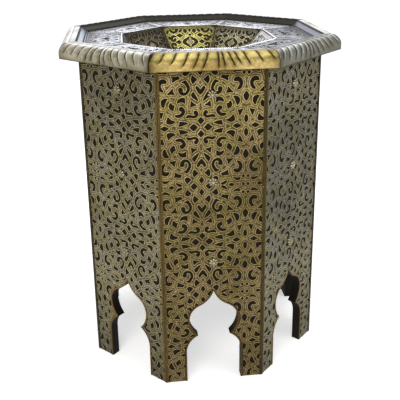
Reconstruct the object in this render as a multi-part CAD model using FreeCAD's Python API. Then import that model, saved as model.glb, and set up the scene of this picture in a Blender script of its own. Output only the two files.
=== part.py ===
import FreeCAD, Part
import math
import os

from FreeCAD import Vector

# An octagonal carcass stands on eight corner legs. Pierced brass covers its eight
# sides, a gadrooned moulding runs round its top edge, and a framed octagonal dish
# is sunk into the middle of the top. The origin is at the middle of the base.
# Face 1 looks along -Y, and the faces are numbered towards +X.

# Driving dimensions in millimetres
side_count = 8
overall_height = 544.0
body_across_flats = 380.0
moulding_overhang = 28.5
hole_across_flats = 240.0
well_depth = 54.0
well_floor_across_flats = 148.0
recess_depth = 10.0

# Boards and sheets
board_thickness = 14.0
frame_thickness = 14.0
well_board_thickness = 10.0
well_floor_thickness = 12.0
sheet_thickness = 1.0
floor_sheet_thickness = 0.8
sheet_floor_clearance = 0.6
cut_overrun = 4.0

# The arch cut in the foot of each side, measured from the floor and from the middle
leg_width = 34.7
shoulder_height = 52.0
shoulder_bulge = 5.8
cusp_height = 84.6
cusp_half_gap = 25.5
cusp_bulge = 3.0
lobe_height = 113.0
lobe_half_width = 38.7
lobe_bulge = 4.8
ogee_height = 139.0
ogee_half_width = 21.5
ogee_bulge = 3.4
arch_height = 164.0

# Moulding round the top, and the lining of its inner side
moulding_height = 24.0
fascia_height = 7.5
crest_inset = 11.5
round_bulge = 3.6
crest_width = 12.7
inner_slope_run = 12.8
lining_lip_width = 0.8
lining_lip_drop = 1.8
lining_lip_draft = 1.9
lining_step_width = 1.2
lining_step_drop = 0.3
lining_bead_rise = 0.9
lining_groove_width = 1.7
lining_groove_rise = 0.3
lining_band_width = 0.6
lining_band_rise = 1.2

# Corner strips, and the glue blocks behind the corners
strip_leg = 4.2
strip_thickness = 0.8
block_leg = 24.0
block_length = 289.0

# Rosette bosses on the middle line of each side
boss_radius = 7.2
boss_rise = 3.8
boss_edge = 0.9
boss_shank_radius = 1.1
boss_shank_length = 10.0
boss_count = 3
boss_top_drop = 40.0
boss_arch_gap = 50.0

# Tacks in the corner strips and in the plates of the top
tack_radius = 1.2
tack_rise = 0.7
tack_edge = 0.2
tack_shank_radius = 0.5
tack_shank_length = 5.0
nail_hole_clearance = 0.05
strip_tack_count = 4
strip_tack_end = 35.0
strip_tack_setback = 3.1
plate_tack_inset = 4.0

# Sizes that follow from the ones above
sector_angle = 360.0 / side_count
half_angle = math.radians(sector_angle / 2)
body_apothem = body_across_flats / 2
board_apothem = body_apothem - sheet_thickness
board_inner_apothem = board_apothem - board_thickness
moulding_apothem = body_apothem + moulding_overhang
crest_apothem = moulding_apothem - crest_inset - crest_width
recess_apothem = crest_apothem - inner_slope_run
hole_apothem = hole_across_flats / 2
well_floor_apothem = well_floor_across_flats / 2
recess_level = overall_height - recess_depth
frame_top = recess_level - sheet_thickness
frame_bottom = frame_top - frame_thickness
moulding_bottom = overall_height - moulding_height
well_floor_level = recess_level - well_depth
face_half_width = body_apothem * math.tan(half_angle)
jamb_half_width = face_half_width - leg_width

# Slope of the dish, as the inward run for each unit of drop
well_slope = (hole_apothem - well_floor_apothem) / well_depth
sheet_run = sheet_thickness * math.hypot(1, well_slope)
well_board_run = well_board_thickness * math.hypot(1, well_slope)

# The top plates end against the back of the dish lining
plate_inner_apothem = hole_apothem + sheet_run


def place(along, out, up):
    """Point on face 1: along the face, out from the centre line, and up."""
    return Vector(along, -out, up)


def turned(shape, steps):
    """The shape moved round to another face, by a whole or half number of sectors."""
    copy = shape.copy()
    copy.rotate(Vector(0, 0, 0), Vector(0, 0, 1), sector_angle * steps)
    return copy


def polygon_prism(points, bottom, top):
    """A prism on a flat outline of (x, y) points."""
    corners = [Vector(x, y, bottom) for x, y in points]
    face = Part.Face(Part.makePolygon(corners + corners[:1]))
    return face.extrude(Vector(0, 0, top - bottom))


def octagon_prism(apothem, bottom, top):
    """A regular prism with a flat towards -Y."""
    radius = apothem / math.cos(half_angle)
    angles = [2 * half_angle * (k + 1 / 2) - math.pi / 2 for k in range(side_count)]
    return polygon_prism([(radius * math.cos(a), radius * math.sin(a)) for a in angles], bottom, top)


def sector_wedge():
    """The slice of space that belongs to face 1, between its two mitre planes."""
    reach = moulding_apothem + cut_overrun
    half = reach * math.tan(half_angle)
    outline = [(0, 0), (-half, -reach), (half, -reach)]
    return polygon_prism(outline, -cut_overrun, overall_height + cut_overrun)


def arc_edge(start, end, bulge):
    """An arc in the plane of (out, up) or (along, up) pairs; a positive bulge lies to the right."""
    run = end[0] - start[0]
    rise = end[1] - start[1]
    length = math.hypot(run, rise)
    middle = ((start[0] + end[0]) / 2 + bulge * rise / length, (start[1] + end[1]) / 2 - bulge * run / length)
    return start, middle, end


def wire_of(path, to_vector):
    """A closed wire of lines and arcs. An item is a (start, end) line or a (start, middle, end) arc."""
    edges = []
    for item in path:
        points = [to_vector(*p) for p in item]
        if len(points) == 2:
            edges.append(Part.makeLine(*points))
        else:
            edges.append(Part.Arc(*points).toShape())
    return Part.Wire(edges)


def closed_path(points):
    """Straight lines through the points and back to the first."""
    return list(zip(points, points[1:] + points[:1]))


def mitred_length(path):
    """A straight length on face 1 with the given (out, up) section, mitred at both ends."""
    half = moulding_apothem * math.tan(half_angle) + cut_overrun
    section = Part.Face(wire_of(path, lambda out, up: place(-half, out, up)))
    return section.extrude(Vector(2 * half, 0, 0)).common(sector_wedge()).Solids[0]


def arch_path():
    """Outline of the arch as (along, up) pairs, from the right foot over the apex to the left foot."""
    foot = (jamb_half_width, -cut_overrun)
    shoulder = (jamb_half_width, shoulder_height)
    cusp = (cusp_half_gap, cusp_height)
    lobe = (lobe_half_width, lobe_height)
    ogee = (ogee_half_width, ogee_height)
    apex = (0, arch_height)
    right = [
        (foot, shoulder),
        arc_edge(shoulder, cusp, shoulder_bulge),
        arc_edge(cusp, lobe, cusp_bulge),
        arc_edge(lobe, ogee, lobe_bulge),
        arc_edge(ogee, apex, -ogee_bulge),
    ]
    left = [tuple((-x, z) for x, z in reversed(item)) for item in reversed(right)]
    return right + left + [((-jamb_half_width, -cut_overrun), foot)]


def arch_cutter():
    """A block with the outline of the arch, through the board and the sheet of face 1."""
    far = body_apothem + cut_overrun
    near = board_inner_apothem - cut_overrun
    face = Part.Face(wire_of(arch_path(), lambda along, up: place(along, far, up)))
    return face.extrude(Vector(0, far - near, 0))


def domed_nail(radius, rise, edge, shank_radius, shank_length):
    """A nail along +Z with its seat at the origin: a shank, a thin edge and a domed head."""
    shoulder = (radius, edge)
    top = (0, rise)
    path = [
        ((0, -shank_length), (shank_radius, -shank_length)),
        ((shank_radius, -shank_length), (shank_radius, 0)),
        ((shank_radius, 0), (radius, 0)),
        ((radius, 0), shoulder),
        arc_edge(shoulder, top, dome_bulge(shoulder, top)),
        (top, (0, -shank_length)),
    ]
    face = Part.Face(wire_of(path, lambda out, up: Vector(out, 0, up)))
    return face.revolve(Vector(0, 0, 0), Vector(0, 0, 1), 360.0).Solids[0]


def dome_bulge(shoulder, top):
    """Bulge of the half arc of a dome that is level at its top."""
    chord = math.hypot(shoulder[0] - top[0], top[1] - shoulder[1])
    turn = 2 * math.atan2(top[1] - shoulder[1], shoulder[0] - top[0])
    return chord / 2 * math.tan(turn / 4)


def nail_hole(shank_radius, shank_length, over):
    """A hole along +Z that clears a shank, open above the seat."""
    radius = shank_radius + nail_hole_clearance
    hole = Part.makeCylinder(radius, shank_length + nail_hole_clearance + over)
    hole.translate(Vector(0, 0, -shank_length - nail_hole_clearance))
    return hole


def seated_outwards(shape, along, out, up):
    """A nail or a hole turned to point out of face 1, with its seat at the given place."""
    copy = shape.copy()
    copy.rotate(Vector(0, 0, 0), Vector(1, 0, 0), 90.0)
    copy.translate(place(along, out, up))
    return copy


def seated_upwards(shape, along, out, up):
    """A nail or a hole that points up, with its seat at the given place on face 1."""
    copy = shape.copy()
    copy.translate(place(along, out, up))
    return copy


def boss_places():
    """Where the bosses of face 1 seat on the sheet, between the moulding and the arch."""
    top = moulding_bottom - boss_top_drop
    pitch = (top - arch_height - boss_arch_gap) / (boss_count - 1)
    return [(0, body_apothem, top - pitch * k) for k in range(boss_count)]


def strip_tack_places():
    """Where the tacks of face 1 seat on the corner strips."""
    outer_half = (body_apothem + strip_thickness) * math.tan(half_angle)
    along = outer_half - strip_tack_setback
    low = sheet_floor_clearance + strip_tack_end
    step = (moulding_bottom - strip_tack_end - low) / (strip_tack_count - 1)
    heights = [low + step * k for k in range(strip_tack_count)]
    return [(side * along, body_apothem + strip_thickness, z) for side in (-1, 1) for z in heights]


def plate_tack_places():
    """Where the tacks of the top plate of face 1 seat."""
    places = []
    for out in (plate_inner_apothem + plate_tack_inset, recess_apothem - plate_tack_inset):
        along = out * math.tan(half_angle) - plate_tack_inset
        places += [(-along, out, recess_level), (along, out, recess_level)]
    return places


def without(shape, cutters):
    """The shape with every cutter taken out of it."""
    return shape.cut(Part.makeCompound(cutters)).Solids[0]


def boss_holes():
    """Holes for the boss shanks of face 1."""
    hole = nail_hole(boss_shank_radius, boss_shank_length, cut_overrun)
    return [seated_outwards(hole, *p) for p in boss_places()]


def strip_tack_holes():
    """Holes for the strip tacks of face 1."""
    hole = nail_hole(tack_shank_radius, tack_shank_length, cut_overrun)
    return [seated_outwards(hole, *p) for p in strip_tack_places()]


def plate_tack_holes():
    """Holes for the plate tacks of face 1."""
    hole = nail_hole(tack_shank_radius, tack_shank_length, cut_overrun)
    return [seated_upwards(hole, *p) for p in plate_tack_places()]


def side_board():
    """A mitred board of the carcass with its arch."""
    section = closed_path([
        (board_inner_apothem, 0),
        (board_apothem, 0),
        (board_apothem, frame_bottom),
        (board_inner_apothem, frame_bottom),
    ])
    return without(mitred_length(section), [arch_cutter()] + boss_holes() + strip_tack_holes())


def side_panel():
    """The brass sheet of a side. It stops just clear of the floor."""
    section = closed_path([
        (board_apothem, sheet_floor_clearance),
        (body_apothem, sheet_floor_clearance),
        (body_apothem, moulding_bottom),
        (board_apothem, moulding_bottom),
    ])
    return without(mitred_length(section), [arch_cutter()] + boss_holes() + strip_tack_holes())


def corner_strip():
    """The angle strip over the joint between face 1 and face 2."""
    outer_half = (body_apothem + strip_thickness) * math.tan(half_angle)
    section = closed_path([
        (body_apothem, sheet_floor_clearance),
        (body_apothem + strip_thickness, sheet_floor_clearance),
        (body_apothem + strip_thickness, moulding_bottom),
        (body_apothem, moulding_bottom),
    ])
    leg = mitred_length(section)
    window = Part.makeBox(
        strip_leg + cut_overrun,
        strip_thickness + 2 * cut_overrun,
        overall_height,
        place(outer_half - strip_leg, body_apothem + strip_thickness + cut_overrun, 0),
    )
    leg = without(leg.common(window), strip_tack_holes())
    other = turned(leg.mirror(Vector(0, 0, 0), Vector(1, 0, 0)), 1)
    return leg.fuse(other).removeSplitter().Solids[0]


def glue_block():
    """The block behind the joint between face 1 and face 2, under the top frame."""
    half = board_inner_apothem * math.tan(half_angle)
    direction = (math.cos(2 * half_angle), math.sin(2 * half_angle))
    corner = (half, -board_inner_apothem)
    outline = [
        corner,
        (corner[0] - block_leg, corner[1]),
        (corner[0] + block_leg * direction[0], corner[1] + block_leg * direction[1]),
    ]
    return polygon_prism(outline, frame_bottom - block_length, frame_bottom)


def dish_apothem(level, behind):
    """Apothem of the sloping side of the dish at a level, or of a layer a run behind it."""
    return hole_apothem + behind - well_slope * (recess_level - level)


def top_frame_board():
    """A mitred board of the top. Its inner edge follows the slope of the dish."""
    section = closed_path([
        (dish_apothem(frame_bottom, sheet_run), frame_bottom),
        (board_apothem, frame_bottom),
        (board_apothem, frame_top),
        (dish_apothem(frame_top, sheet_run), frame_top),
    ])
    return without(mitred_length(section), plate_tack_holes())


def well_board():
    """A sloping board of the dish, from the top frame down to the floor board."""
    section = closed_path([
        (dish_apothem(well_floor_level, sheet_run), well_floor_level),
        (dish_apothem(well_floor_level, sheet_run + well_board_run), well_floor_level),
        (dish_apothem(frame_bottom, sheet_run + well_board_run), frame_bottom),
        (dish_apothem(frame_bottom, sheet_run), frame_bottom),
    ])
    return mitred_length(section)


def well_panel():
    """The brass lining of one side of the dish."""
    section = closed_path([
        (dish_apothem(well_floor_level, 0), well_floor_level),
        (dish_apothem(well_floor_level, sheet_run), well_floor_level),
        (dish_apothem(recess_level, sheet_run), recess_level),
        (dish_apothem(recess_level, 0), recess_level),
    ])
    return mitred_length(section)


def well_floor_board():
    """The board that closes the dish from below."""
    apothem = dish_apothem(well_floor_level, sheet_run + well_board_run)
    return octagon_prism(apothem, well_floor_level - well_floor_thickness, well_floor_level)


def well_floor_sheet():
    """The brass sheet that lies on the floor board, within the linings."""
    return octagon_prism(well_floor_apothem, well_floor_level, well_floor_level + floor_sheet_thickness)


def top_plate():
    """A plate of the recessed top, between the dish lining and the rim lining."""
    section = closed_path([
        (plate_inner_apothem, frame_top),
        (recess_apothem, frame_top),
        (recess_apothem, recess_level),
        (plate_inner_apothem, recess_level),
    ])
    return without(mitred_length(section), plate_tack_holes())


def lining_back():
    """Top and foot of the slope that the rim lining lies on."""
    return (crest_apothem, overall_height), (recess_apothem, frame_top)


def rim_moulding():
    """A length of the moulding, rebated over the top frame."""
    top, foot = lining_back()
    fascia = (moulding_apothem, moulding_bottom + fascia_height)
    crest = (moulding_apothem - crest_inset, overall_height)
    path = [
        ((board_apothem, moulding_bottom), (moulding_apothem, moulding_bottom)),
        ((moulding_apothem, moulding_bottom), fascia),
        arc_edge(fascia, crest, round_bulge),
        (crest, top),
        (top, foot),
        (foot, (board_apothem, frame_top)),
        ((board_apothem, frame_top), (board_apothem, moulding_bottom)),
    ]
    return mitred_length(path)


def rim_lining():
    """A stepped metal strip on the inner slope of the moulding, down to the top plate."""
    top, foot = lining_back()
    lip = (top[0] - lining_lip_width, overall_height)
    lip_foot = (lip[0] - lining_lip_draft, lip[1] - lining_lip_drop)
    step = (lip_foot[0] - lining_step_width, lip_foot[1] - lining_step_drop)
    bead = (recess_apothem, recess_level)
    bead_top = (bead[0], bead[1] + lining_bead_rise)
    groove = (bead_top[0] + lining_groove_width, bead_top[1] + lining_groove_rise)
    band_foot = (groove[0] - lining_band_width, groove[1] + lining_band_rise)
    section = [top, foot, bead, bead_top, groove, band_foot, step, lip_foot, lip]
    return mitred_length(closed_path(section))


def ring_of(shape, first=0.0):
    """The shape repeated on every face, as separate solids."""
    return Part.makeCompound([turned(shape, first + k) for k in range(side_count)])


def nails_on_faces(nail, places, seat):
    """A nail at each place on every face."""
    one_face = Part.makeCompound([seat(nail, *p) for p in places])
    solids = []
    for k in range(side_count):
        solids += turned(one_face, k).Solids
    return Part.makeCompound(solids)


def save(name, shape):
    """Write one node."""
    shape.exportStep(os.path.join("parts", name + ".step"))


def main():
    os.makedirs("parts", exist_ok=True)

    repeated = {
        "side_board": side_board(),
        "side_panel": side_panel(),
        "corner_strip": corner_strip(),
        "rim_moulding": rim_moulding(),
        "top_plate": top_plate(),
        "well_panel": well_panel(),
    }
    for name, shape in repeated.items():
        for k in range(side_count):
            save(f"{name}_{k + 1}", turned(shape, k))

    save("top_frame_boards", ring_of(top_frame_board()))
    save("well_boards", ring_of(well_board()))
    save("rim_linings", ring_of(rim_lining()))
    save("glue_blocks", ring_of(glue_block()))
    save("well_floor_board", well_floor_board())
    save("well_floor_sheet", well_floor_sheet())

    boss = domed_nail(boss_radius, boss_rise, boss_edge, boss_shank_radius, boss_shank_length)
    tack = domed_nail(tack_radius, tack_rise, tack_edge, tack_shank_radius, tack_shank_length)
    save("side_bosses", nails_on_faces(boss, boss_places(), seated_outwards))
    save("strip_tacks", nails_on_faces(tack, strip_tack_places(), seated_outwards))
    save("plate_tacks", nails_on_faces(tack, plate_tack_places(), seated_upwards))


main()
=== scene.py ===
import math

import bpy
import numpy as np
from mathutils import Matrix, Vector
from mathutils.geometry import delaunay_2d_cdt


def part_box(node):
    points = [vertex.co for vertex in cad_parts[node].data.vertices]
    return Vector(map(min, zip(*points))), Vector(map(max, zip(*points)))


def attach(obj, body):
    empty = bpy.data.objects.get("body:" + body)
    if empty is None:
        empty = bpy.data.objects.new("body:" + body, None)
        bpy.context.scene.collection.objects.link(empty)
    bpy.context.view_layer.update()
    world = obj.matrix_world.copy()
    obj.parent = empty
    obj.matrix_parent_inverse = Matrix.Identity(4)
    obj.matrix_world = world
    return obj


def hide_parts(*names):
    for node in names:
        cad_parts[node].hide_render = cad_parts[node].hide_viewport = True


# The looks of an octagonal stand clad in pierced brass. Shapes are worked out in
# millimetres on face 1, which looks along -Y, and are then turned round to their face.

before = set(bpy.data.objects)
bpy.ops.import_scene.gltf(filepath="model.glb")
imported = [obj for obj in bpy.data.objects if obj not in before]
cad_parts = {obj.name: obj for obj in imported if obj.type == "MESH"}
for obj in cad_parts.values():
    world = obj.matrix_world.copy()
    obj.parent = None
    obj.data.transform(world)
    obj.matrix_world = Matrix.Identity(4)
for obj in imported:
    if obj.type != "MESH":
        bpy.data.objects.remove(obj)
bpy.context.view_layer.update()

MM = 0.001
SIDES = 8
HALF_ANGLE = math.pi / SIDES
TAN_HALF = math.tan(HALF_ANGLE)


def box_mm(node):
    """Lowest and highest corner of a node of the frame, in millimetres."""
    low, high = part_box(node)
    return low / MM, high / MM


panel_low, panel_high = box_mm("side_panel_1")
rim_low, rim_high = box_mm("rim_moulding_1")
plate_low, plate_high = box_mm("top_plate_1")
well_low, well_high = box_mm("well_panel_1")
floor_low, floor_high = box_mm("well_floor_sheet")

# Apothems and levels of the frame
BODY = -panel_low.y
BOARD = -panel_high.y
SHEET = BODY - BOARD
PANEL_FOOT = panel_low.z
PANEL_TOP = panel_high.z
RIM = -rim_low.y
RIM_FOOT = rim_low.z
RIM_TOP = rim_high.z
PLATE_INNER = -plate_high.y
PLATE_OUTER = -plate_low.y
RECESS = plate_high.z
DISH_FLOOR = well_low.z
DISH_FLOOR_APOTHEM = -well_high.y

# The arch in the foot of each side, as in the frame
LEG_WIDTH = 34.7
SHOULDER_HEIGHT = 52.0
SHOULDER_BULGE = 5.8
CUSP_HEIGHT = 84.6
CUSP_HALF_GAP = 25.5
CUSP_BULGE = 3.0
LOBE_HEIGHT = 113.0
LOBE_HALF_WIDTH = 38.7
LOBE_BULGE = 4.8
OGEE_HEIGHT = 139.0
OGEE_HALF_WIDTH = 21.5
OGEE_BULGE = 3.4
ARCH_HEIGHT = 164.0

# The section of the moulding, as in the frame
FASCIA_HEIGHT = 7.5
CREST_INSET = 11.5
ROUND_BULGE = 3.6
CREST_WIDTH = 12.7

# The strips and the bosses, as in the frame
STRIP_LEG = 4.2
STRIP_THICKNESS = 0.8
BOSS_RADIUS = 7.2
BOSS_RISE = 3.8
BOSS_EDGE = 0.9
BOSS_HEIGHTS = (480.0, 347.0, 214.0)
HOLE_APOTHEM = 120.0


# The openwork is one tile, mirrored both ways. QUARTER is the size of the quarter that is
# drawn: across from the line through its paired lozenges, and down to the line of its lattice.
QUARTER = (66.0, 91.0)
TABLE_STEP = 0.25

# Cut-outs as (across, down); a third value of 1 keeps a sharp corner there
CUTS = [
    [(5.0, 0.0, 1), (10.3, 5.2, 1), (16.0, 0.0, 1), (10.3, -5.2, 1)],
    [(0.0, 4.9, 1), (4.3, 10.1, 1), (0.0, 14.9, 1), (-4.3, 10.1, 1)],
    [(19.0, 6.6, 1), (25.0, 4.2), (32.0, 3.0, 1), (30.5, 6.2), (30.4, 9.0, 1), (25.0, 8.6)],
    [(46.8, 0.0, 1), (52.6, 3.4, 1), (58.2, 0.0, 1), (52.6, -3.4, 1)],
    [(37.0, 9.9, 1), (40.6, 7.5), (45.0, 6.8), (49.0, 8.3, 1), (48.7, 12.0), (46.9, 16.8, 1),
     (44.4, 13.6), (41.0, 11.2)],
    [(66.0, 4.8, 1), (63.8, 8.0), (63.9, 12.8), (66.0, 16.0, 1), (68.1, 12.8), (68.2, 8.0)],
    [(6.0, 32.9, 1), (10.6, 32.4), (14.5, 30.6, 1), (14.0, 34.4), (13.4, 38.5, 1), (9.8, 35.2)],
    [(22.6, 36.4, 1), (27.6, 38.9), (33.2, 36.9, 1), (31.6, 41.4), (27.6, 43.8), (22.6, 43.5, 1)],
    [(39.5, 26.4, 1), (43.4, 28.8), (44.9, 32.8), (42.5, 37.6, 1), (40.3, 34.2), (37.5, 33.6, 1),
     (38.6, 30.2)],
    [(56.4, 15.2, 1), (58.8, 19.6), (60.8, 25.0, 1), (57.2, 23.6), (53.8, 23.4, 1), (55.4, 19.4)],
    [(52.9, 31.0, 1), (55.8, 35.0), (55.8, 40.6), (52.0, 43.8), (47.4, 43.6, 1), (50.2, 38.6)],
    [(66.0, 36.6, 1), (63.2, 40.8), (62.4, 45.4), (66.0, 50.4, 1), (69.6, 45.4), (68.8, 40.8)],
    [(3.6, 39.5, 1), (8.4, 42.6), (12.8, 47.0), (10.3, 52.0, 1), (7.2, 47.0)],
    [(0.0, 48.6, 1), (3.4, 52.4), (6.6, 58.4, 1), (5.0, 60.8, 1), (2.2, 57.2), (0.0, 54.8, 1),
     (-2.2, 57.2), (-5.0, 60.8, 1), (-6.6, 58.4, 1), (-3.4, 52.4)],
    [(19.4, 61.0, 1), (21.8, 64.8), (26.2, 66.6, 1), (21.0, 69.2, 1), (17.8, 64.0)],
    [(37.0, 49.6, 1), (41.6, 50.4), (46.8, 50.2, 1), (42.6, 54.4), (39.6, 58.0, 1), (39.2, 53.6)],
    [(10.3, 64.5, 1), (12.7, 69.8), (11.1, 75.7, 1), (5.0, 70.2, 1), (7.9, 67.4)],
    [(29.4, 72.2, 1), (34.6, 70.4), (39.4, 67.4, 1), (39.1, 72.0), (40.8, 75.0, 1), (36.0, 74.6),
     (31.4, 75.8, 1)],
    [(16.0, 80.4, 1), (18.4, 77.6), (21.4, 76.2, 1), (24.6, 78.3, 1), (23.4, 82.2), (21.6, 85.8, 1)],
    [(0.0, 76.6, 1), (3.2, 81.5, 1), (0.0, 86.3, 1), (-3.2, 81.5, 1)],
    [(6.6, 91.0, 1), (11.4, 86.0, 1), (16.2, 91.0, 1), (11.4, 96.0, 1)],
    [(29.0, 88.6, 1), (33.0, 86.0), (38.0, 84.4, 1), (35.2, 88.4), (31.2, 89.9)],
    [(47.2, 79.3, 1), (52.4, 80.9), (57.8, 80.2, 1), (56.2, 84.0, 1), (51.4, 83.2)],
    [(40.6, 91.0, 1), (44.6, 88.9), (48.4, 91.0, 1), (44.6, 93.1)],
    [(60.6, 78.2, 1), (62.4, 76.0, 1), (64.2, 78.2, 1), (62.4, 80.4, 1)],
    [(60.4, 91.0, 1), (62.4, 88.6, 1), (64.4, 91.0, 1), (62.4, 93.4, 1)],
]

# Scrolls as the middle line of a cut-out: (across, down, half width)
SCROLLS = [
    [(20.4, 15.4, 0.4), (17.4, 17.0, 1.3), (13.8, 16.6, 1.0), (10.0, 15.8, 1.0), (6.6, 17.2, 1.1),
     (5.4, 19.8, 1.3), (7.4, 22.2, 2.2)],
    [(36.4, 18.3, 0.3), (33.4, 18.0, 1.4), (30.2, 18.0, 1.5), (27.2, 19.8, 1.6), (25.2, 22.8, 1.6),
     (25.2, 26.0, 1.9), (27.9, 28.1, 2.5)],
    [(28.3, 56.0, 2.5), (27.4, 51.8, 1.7), (24.2, 50.0, 1.4), (20.6, 50.6, 1.1), (17.8, 54.0, 1.1),
     (17.0, 58.2, 1.2), (18.6, 62.6, 1.4), (20.4, 65.2, 1.4)],
    [(53.8, 54.6, 0.5), (56.8, 57.4, 1.6), (58.4, 61.8, 1.6), (57.6, 66.0, 2.0), (54.6, 69.0, 2.3),
     (51.4, 69.0, 2.2), (48.8, 67.2, 0.5)],
]

# Where the tile lies on each side: across from the middle of the side, and its height
TILE_PLACES = [
    (-16.8, 432.4), (21.3, 432.6), (-52.0, 431.0), (-16.8, 432.4),
    (21.3, 432.6), (10.4, 430.2), (-52.0, 431.0), (10.4, 430.2),
]

# How far a cut-out is filed open past its drawn outline
FILED = 0.42
SCROLL_FILED = 0.25

# How much wider points lie along a line for each millimetre that it runs from a cut-out
SPREAD = 0.15
# The fewest points of a drawn line, and the number of points up to which a found line is left out
FEWEST_POINTS = 4
SHORT_LINE = 5
# The lowest level that a line is found at, the distance at which points are one, and twice the area
# up to which a triangle is left out
LOWEST_LEVEL = 1e-3
WELD = 1e-4
SLIVER = 1e-7

# A chased sheet by the distance from the nearest cut-out: its height over its back, and its polish
CHASING = [
    (0.0, 0.7, 0.05), (0.4, 1.16, 0.9), (0.9, 1.25, 1.0), (1.4, 1.15, 0.85), (1.9, 0.68, 0.18),
    (2.6, 0.64, 0.14), (3.1, 1.0, 0.8), (4.2, 1.05, 0.85), (4.8, 0.7, 0.22), (5.5, 0.68, 0.18),
    (6.1, 1.0, 0.8),
]

# The plain band along the arch, by the distance from its edge: its height and its polish
EDGING = [(0.0, 0.7, 0.2), (0.5, 1.4, 0.9), (1.6, 1.6, 1.0), (2.7, 1.4, 0.6), (3.15, 0.5, 0.0)]
EDGING_WIDTH = 3.15
EDGING_MARGIN = 3.5
SIDE_MARGIN = 1.5
FLAT_HEIGHT = 0.97


def cubic(here, there, leave, arrive, steps):
    """Points on a cubic from here to there, without there, by how it leaves and arrives."""
    t = (np.arange(steps) / steps)[:, None]
    return (
        (2 * t**3 - 3 * t**2 + 1) * here
        + (t**3 - 2 * t**2 + t) * leave
        + (3 * t**2 - 2 * t**3) * there
        + (t**3 - t**2) * arrive
    )


def smooth_step(points, i, steps):
    """Points on a cubic from point i to the next, level with its neighbours except at corners."""
    count = len(points)
    here = np.array(points[i][:2], float)
    there = np.array(points[(i + 1) % count][:2], float)
    sharp_here = len(points[i]) > 2
    sharp_there = len(points[(i + 1) % count]) > 2
    leave = (there - np.array(points[i - 1][:2], float)) / 2
    arrive = (np.array(points[(i + 2) % count][:2], float) - here) / 2
    if sharp_here:
        leave = there - here if sharp_there else (there - here) * 1.5 - arrive / 2
    if sharp_there:
        arrive = there - here if sharp_here else (there - here) * 1.5 - leave / 2
    return cubic(here, there, leave, arrive, steps)


def smooth_outline(points, steps=5):
    """A closed outline through the points."""
    return np.concatenate([smooth_step(points, i, steps) for i in range(len(points))])


def smooth_spine(points, steps=6):
    """An open line through points of any number of values."""
    p = np.array(points, float)
    last = len(p) - 1
    rows = []
    for i in range(last):
        leave = (p[i + 1] - p[max(i - 1, 0)]) / 2
        arrive = (p[min(i + 2, last)] - p[i]) / 2
        rows.append(cubic(p[i], p[i + 1], leave, arrive, steps))
    return np.concatenate(rows + [p[last:]])


def distance_to_line(points, line, closed):
    """Distance from each point to a line of straight runs."""
    ends = np.roll(line, -1, axis=0) if closed else line[1:]
    best = np.full(len(points), np.inf)
    for start, end in zip(line, ends):
        run = end - start
        reach = points - start
        share = np.clip(reach @ run / max(run @ run, 1e-12), 0, 1)
        best = np.minimum(best, np.hypot(*(reach - share[:, None] * run).T))
    return best


def is_inside(points, outline):
    """Whether each point lies in a closed outline."""
    inside = np.zeros(len(points), bool)
    for start, end in zip(outline, np.roll(outline, -1, axis=0)):
        rise = end[1] - start[1]
        if rise == 0:
            continue
        spans = (start[1] > points[:, 1]) != (end[1] > points[:, 1])
        at = start[0] + (points[:, 1] - start[1]) / rise * (end[0] - start[0])
        inside ^= spans & (points[:, 0] < at)
    return inside


def signed_distance(points, outline):
    """Distance outside a closed outline, negative within it."""
    distance = distance_to_line(points, outline, True)
    return np.where(is_inside(points, outline), -distance, distance)


class Grid:
    """Values on an even grid that can be read between its points."""

    def __init__(self, low, high, step, value):
        self.low = np.array(low, float)
        self.step = step
        self.columns = np.arange(low[0], high[0] + step, step)
        self.rows = np.arange(low[1], high[1] + step, step)
        self.points = np.stack([g.ravel() for g in np.meshgrid(self.columns, self.rows)], -1)
        self.values = value(self.points).reshape(len(self.rows), len(self.columns))

    def at(self, points):
        """The value at each point."""
        place = (points - self.low) / self.step
        x = np.clip(place[:, 0], 0, len(self.columns) - 1.001)
        y = np.clip(place[:, 1], 0, len(self.rows) - 1.001)
        i = x.astype(int)
        j = y.astype(int)
        a = x - i
        b = y - j
        upper = self.values[j, i] * (1 - a) + self.values[j, i + 1] * a
        lower = self.values[j + 1, i] * (1 - a) + self.values[j + 1, i + 1] * a
        return upper * (1 - b) + lower * b


def cut_distance(points, cuts, scrolls):
    """Distance outside a set of cut-outs."""
    best = np.full(len(points), np.inf)
    for cut in cuts:
        best = np.minimum(best, signed_distance(points, smooth_outline(cut)))
    for scroll in scrolls:
        for u, v, half in smooth_spine(scroll):
            round_end = np.hypot(points[:, 0] - u, points[:, 1] - v) - half - SCROLL_FILED
            best = np.minimum(best, round_end)
    return best


def folded(value, half):
    """A coordinate folded back and forth between mirror lines that are half apart."""
    turn = np.mod(value, 2 * half)
    return np.minimum(turn, 2 * half - turn)


def tile_of(size, cuts, scrolls):
    """The distance outside a set of cut-outs, on a grid of a size."""
    return Grid((0, 0), size, TABLE_STEP, lambda points: cut_distance(points, cuts, scrolls))


TILE = tile_of(QUARTER, CUTS, SCROLLS)


def openwork(points, place):
    """Distance from the cut-outs of the tile, whose paired lozenges lie at a place."""
    u = folded(points[:, 0] - place[0], QUARTER[0])
    v = folded(place[1] - points[:, 1], QUARTER[1])
    return TILE.at(np.stack([u, v], -1))


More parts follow.
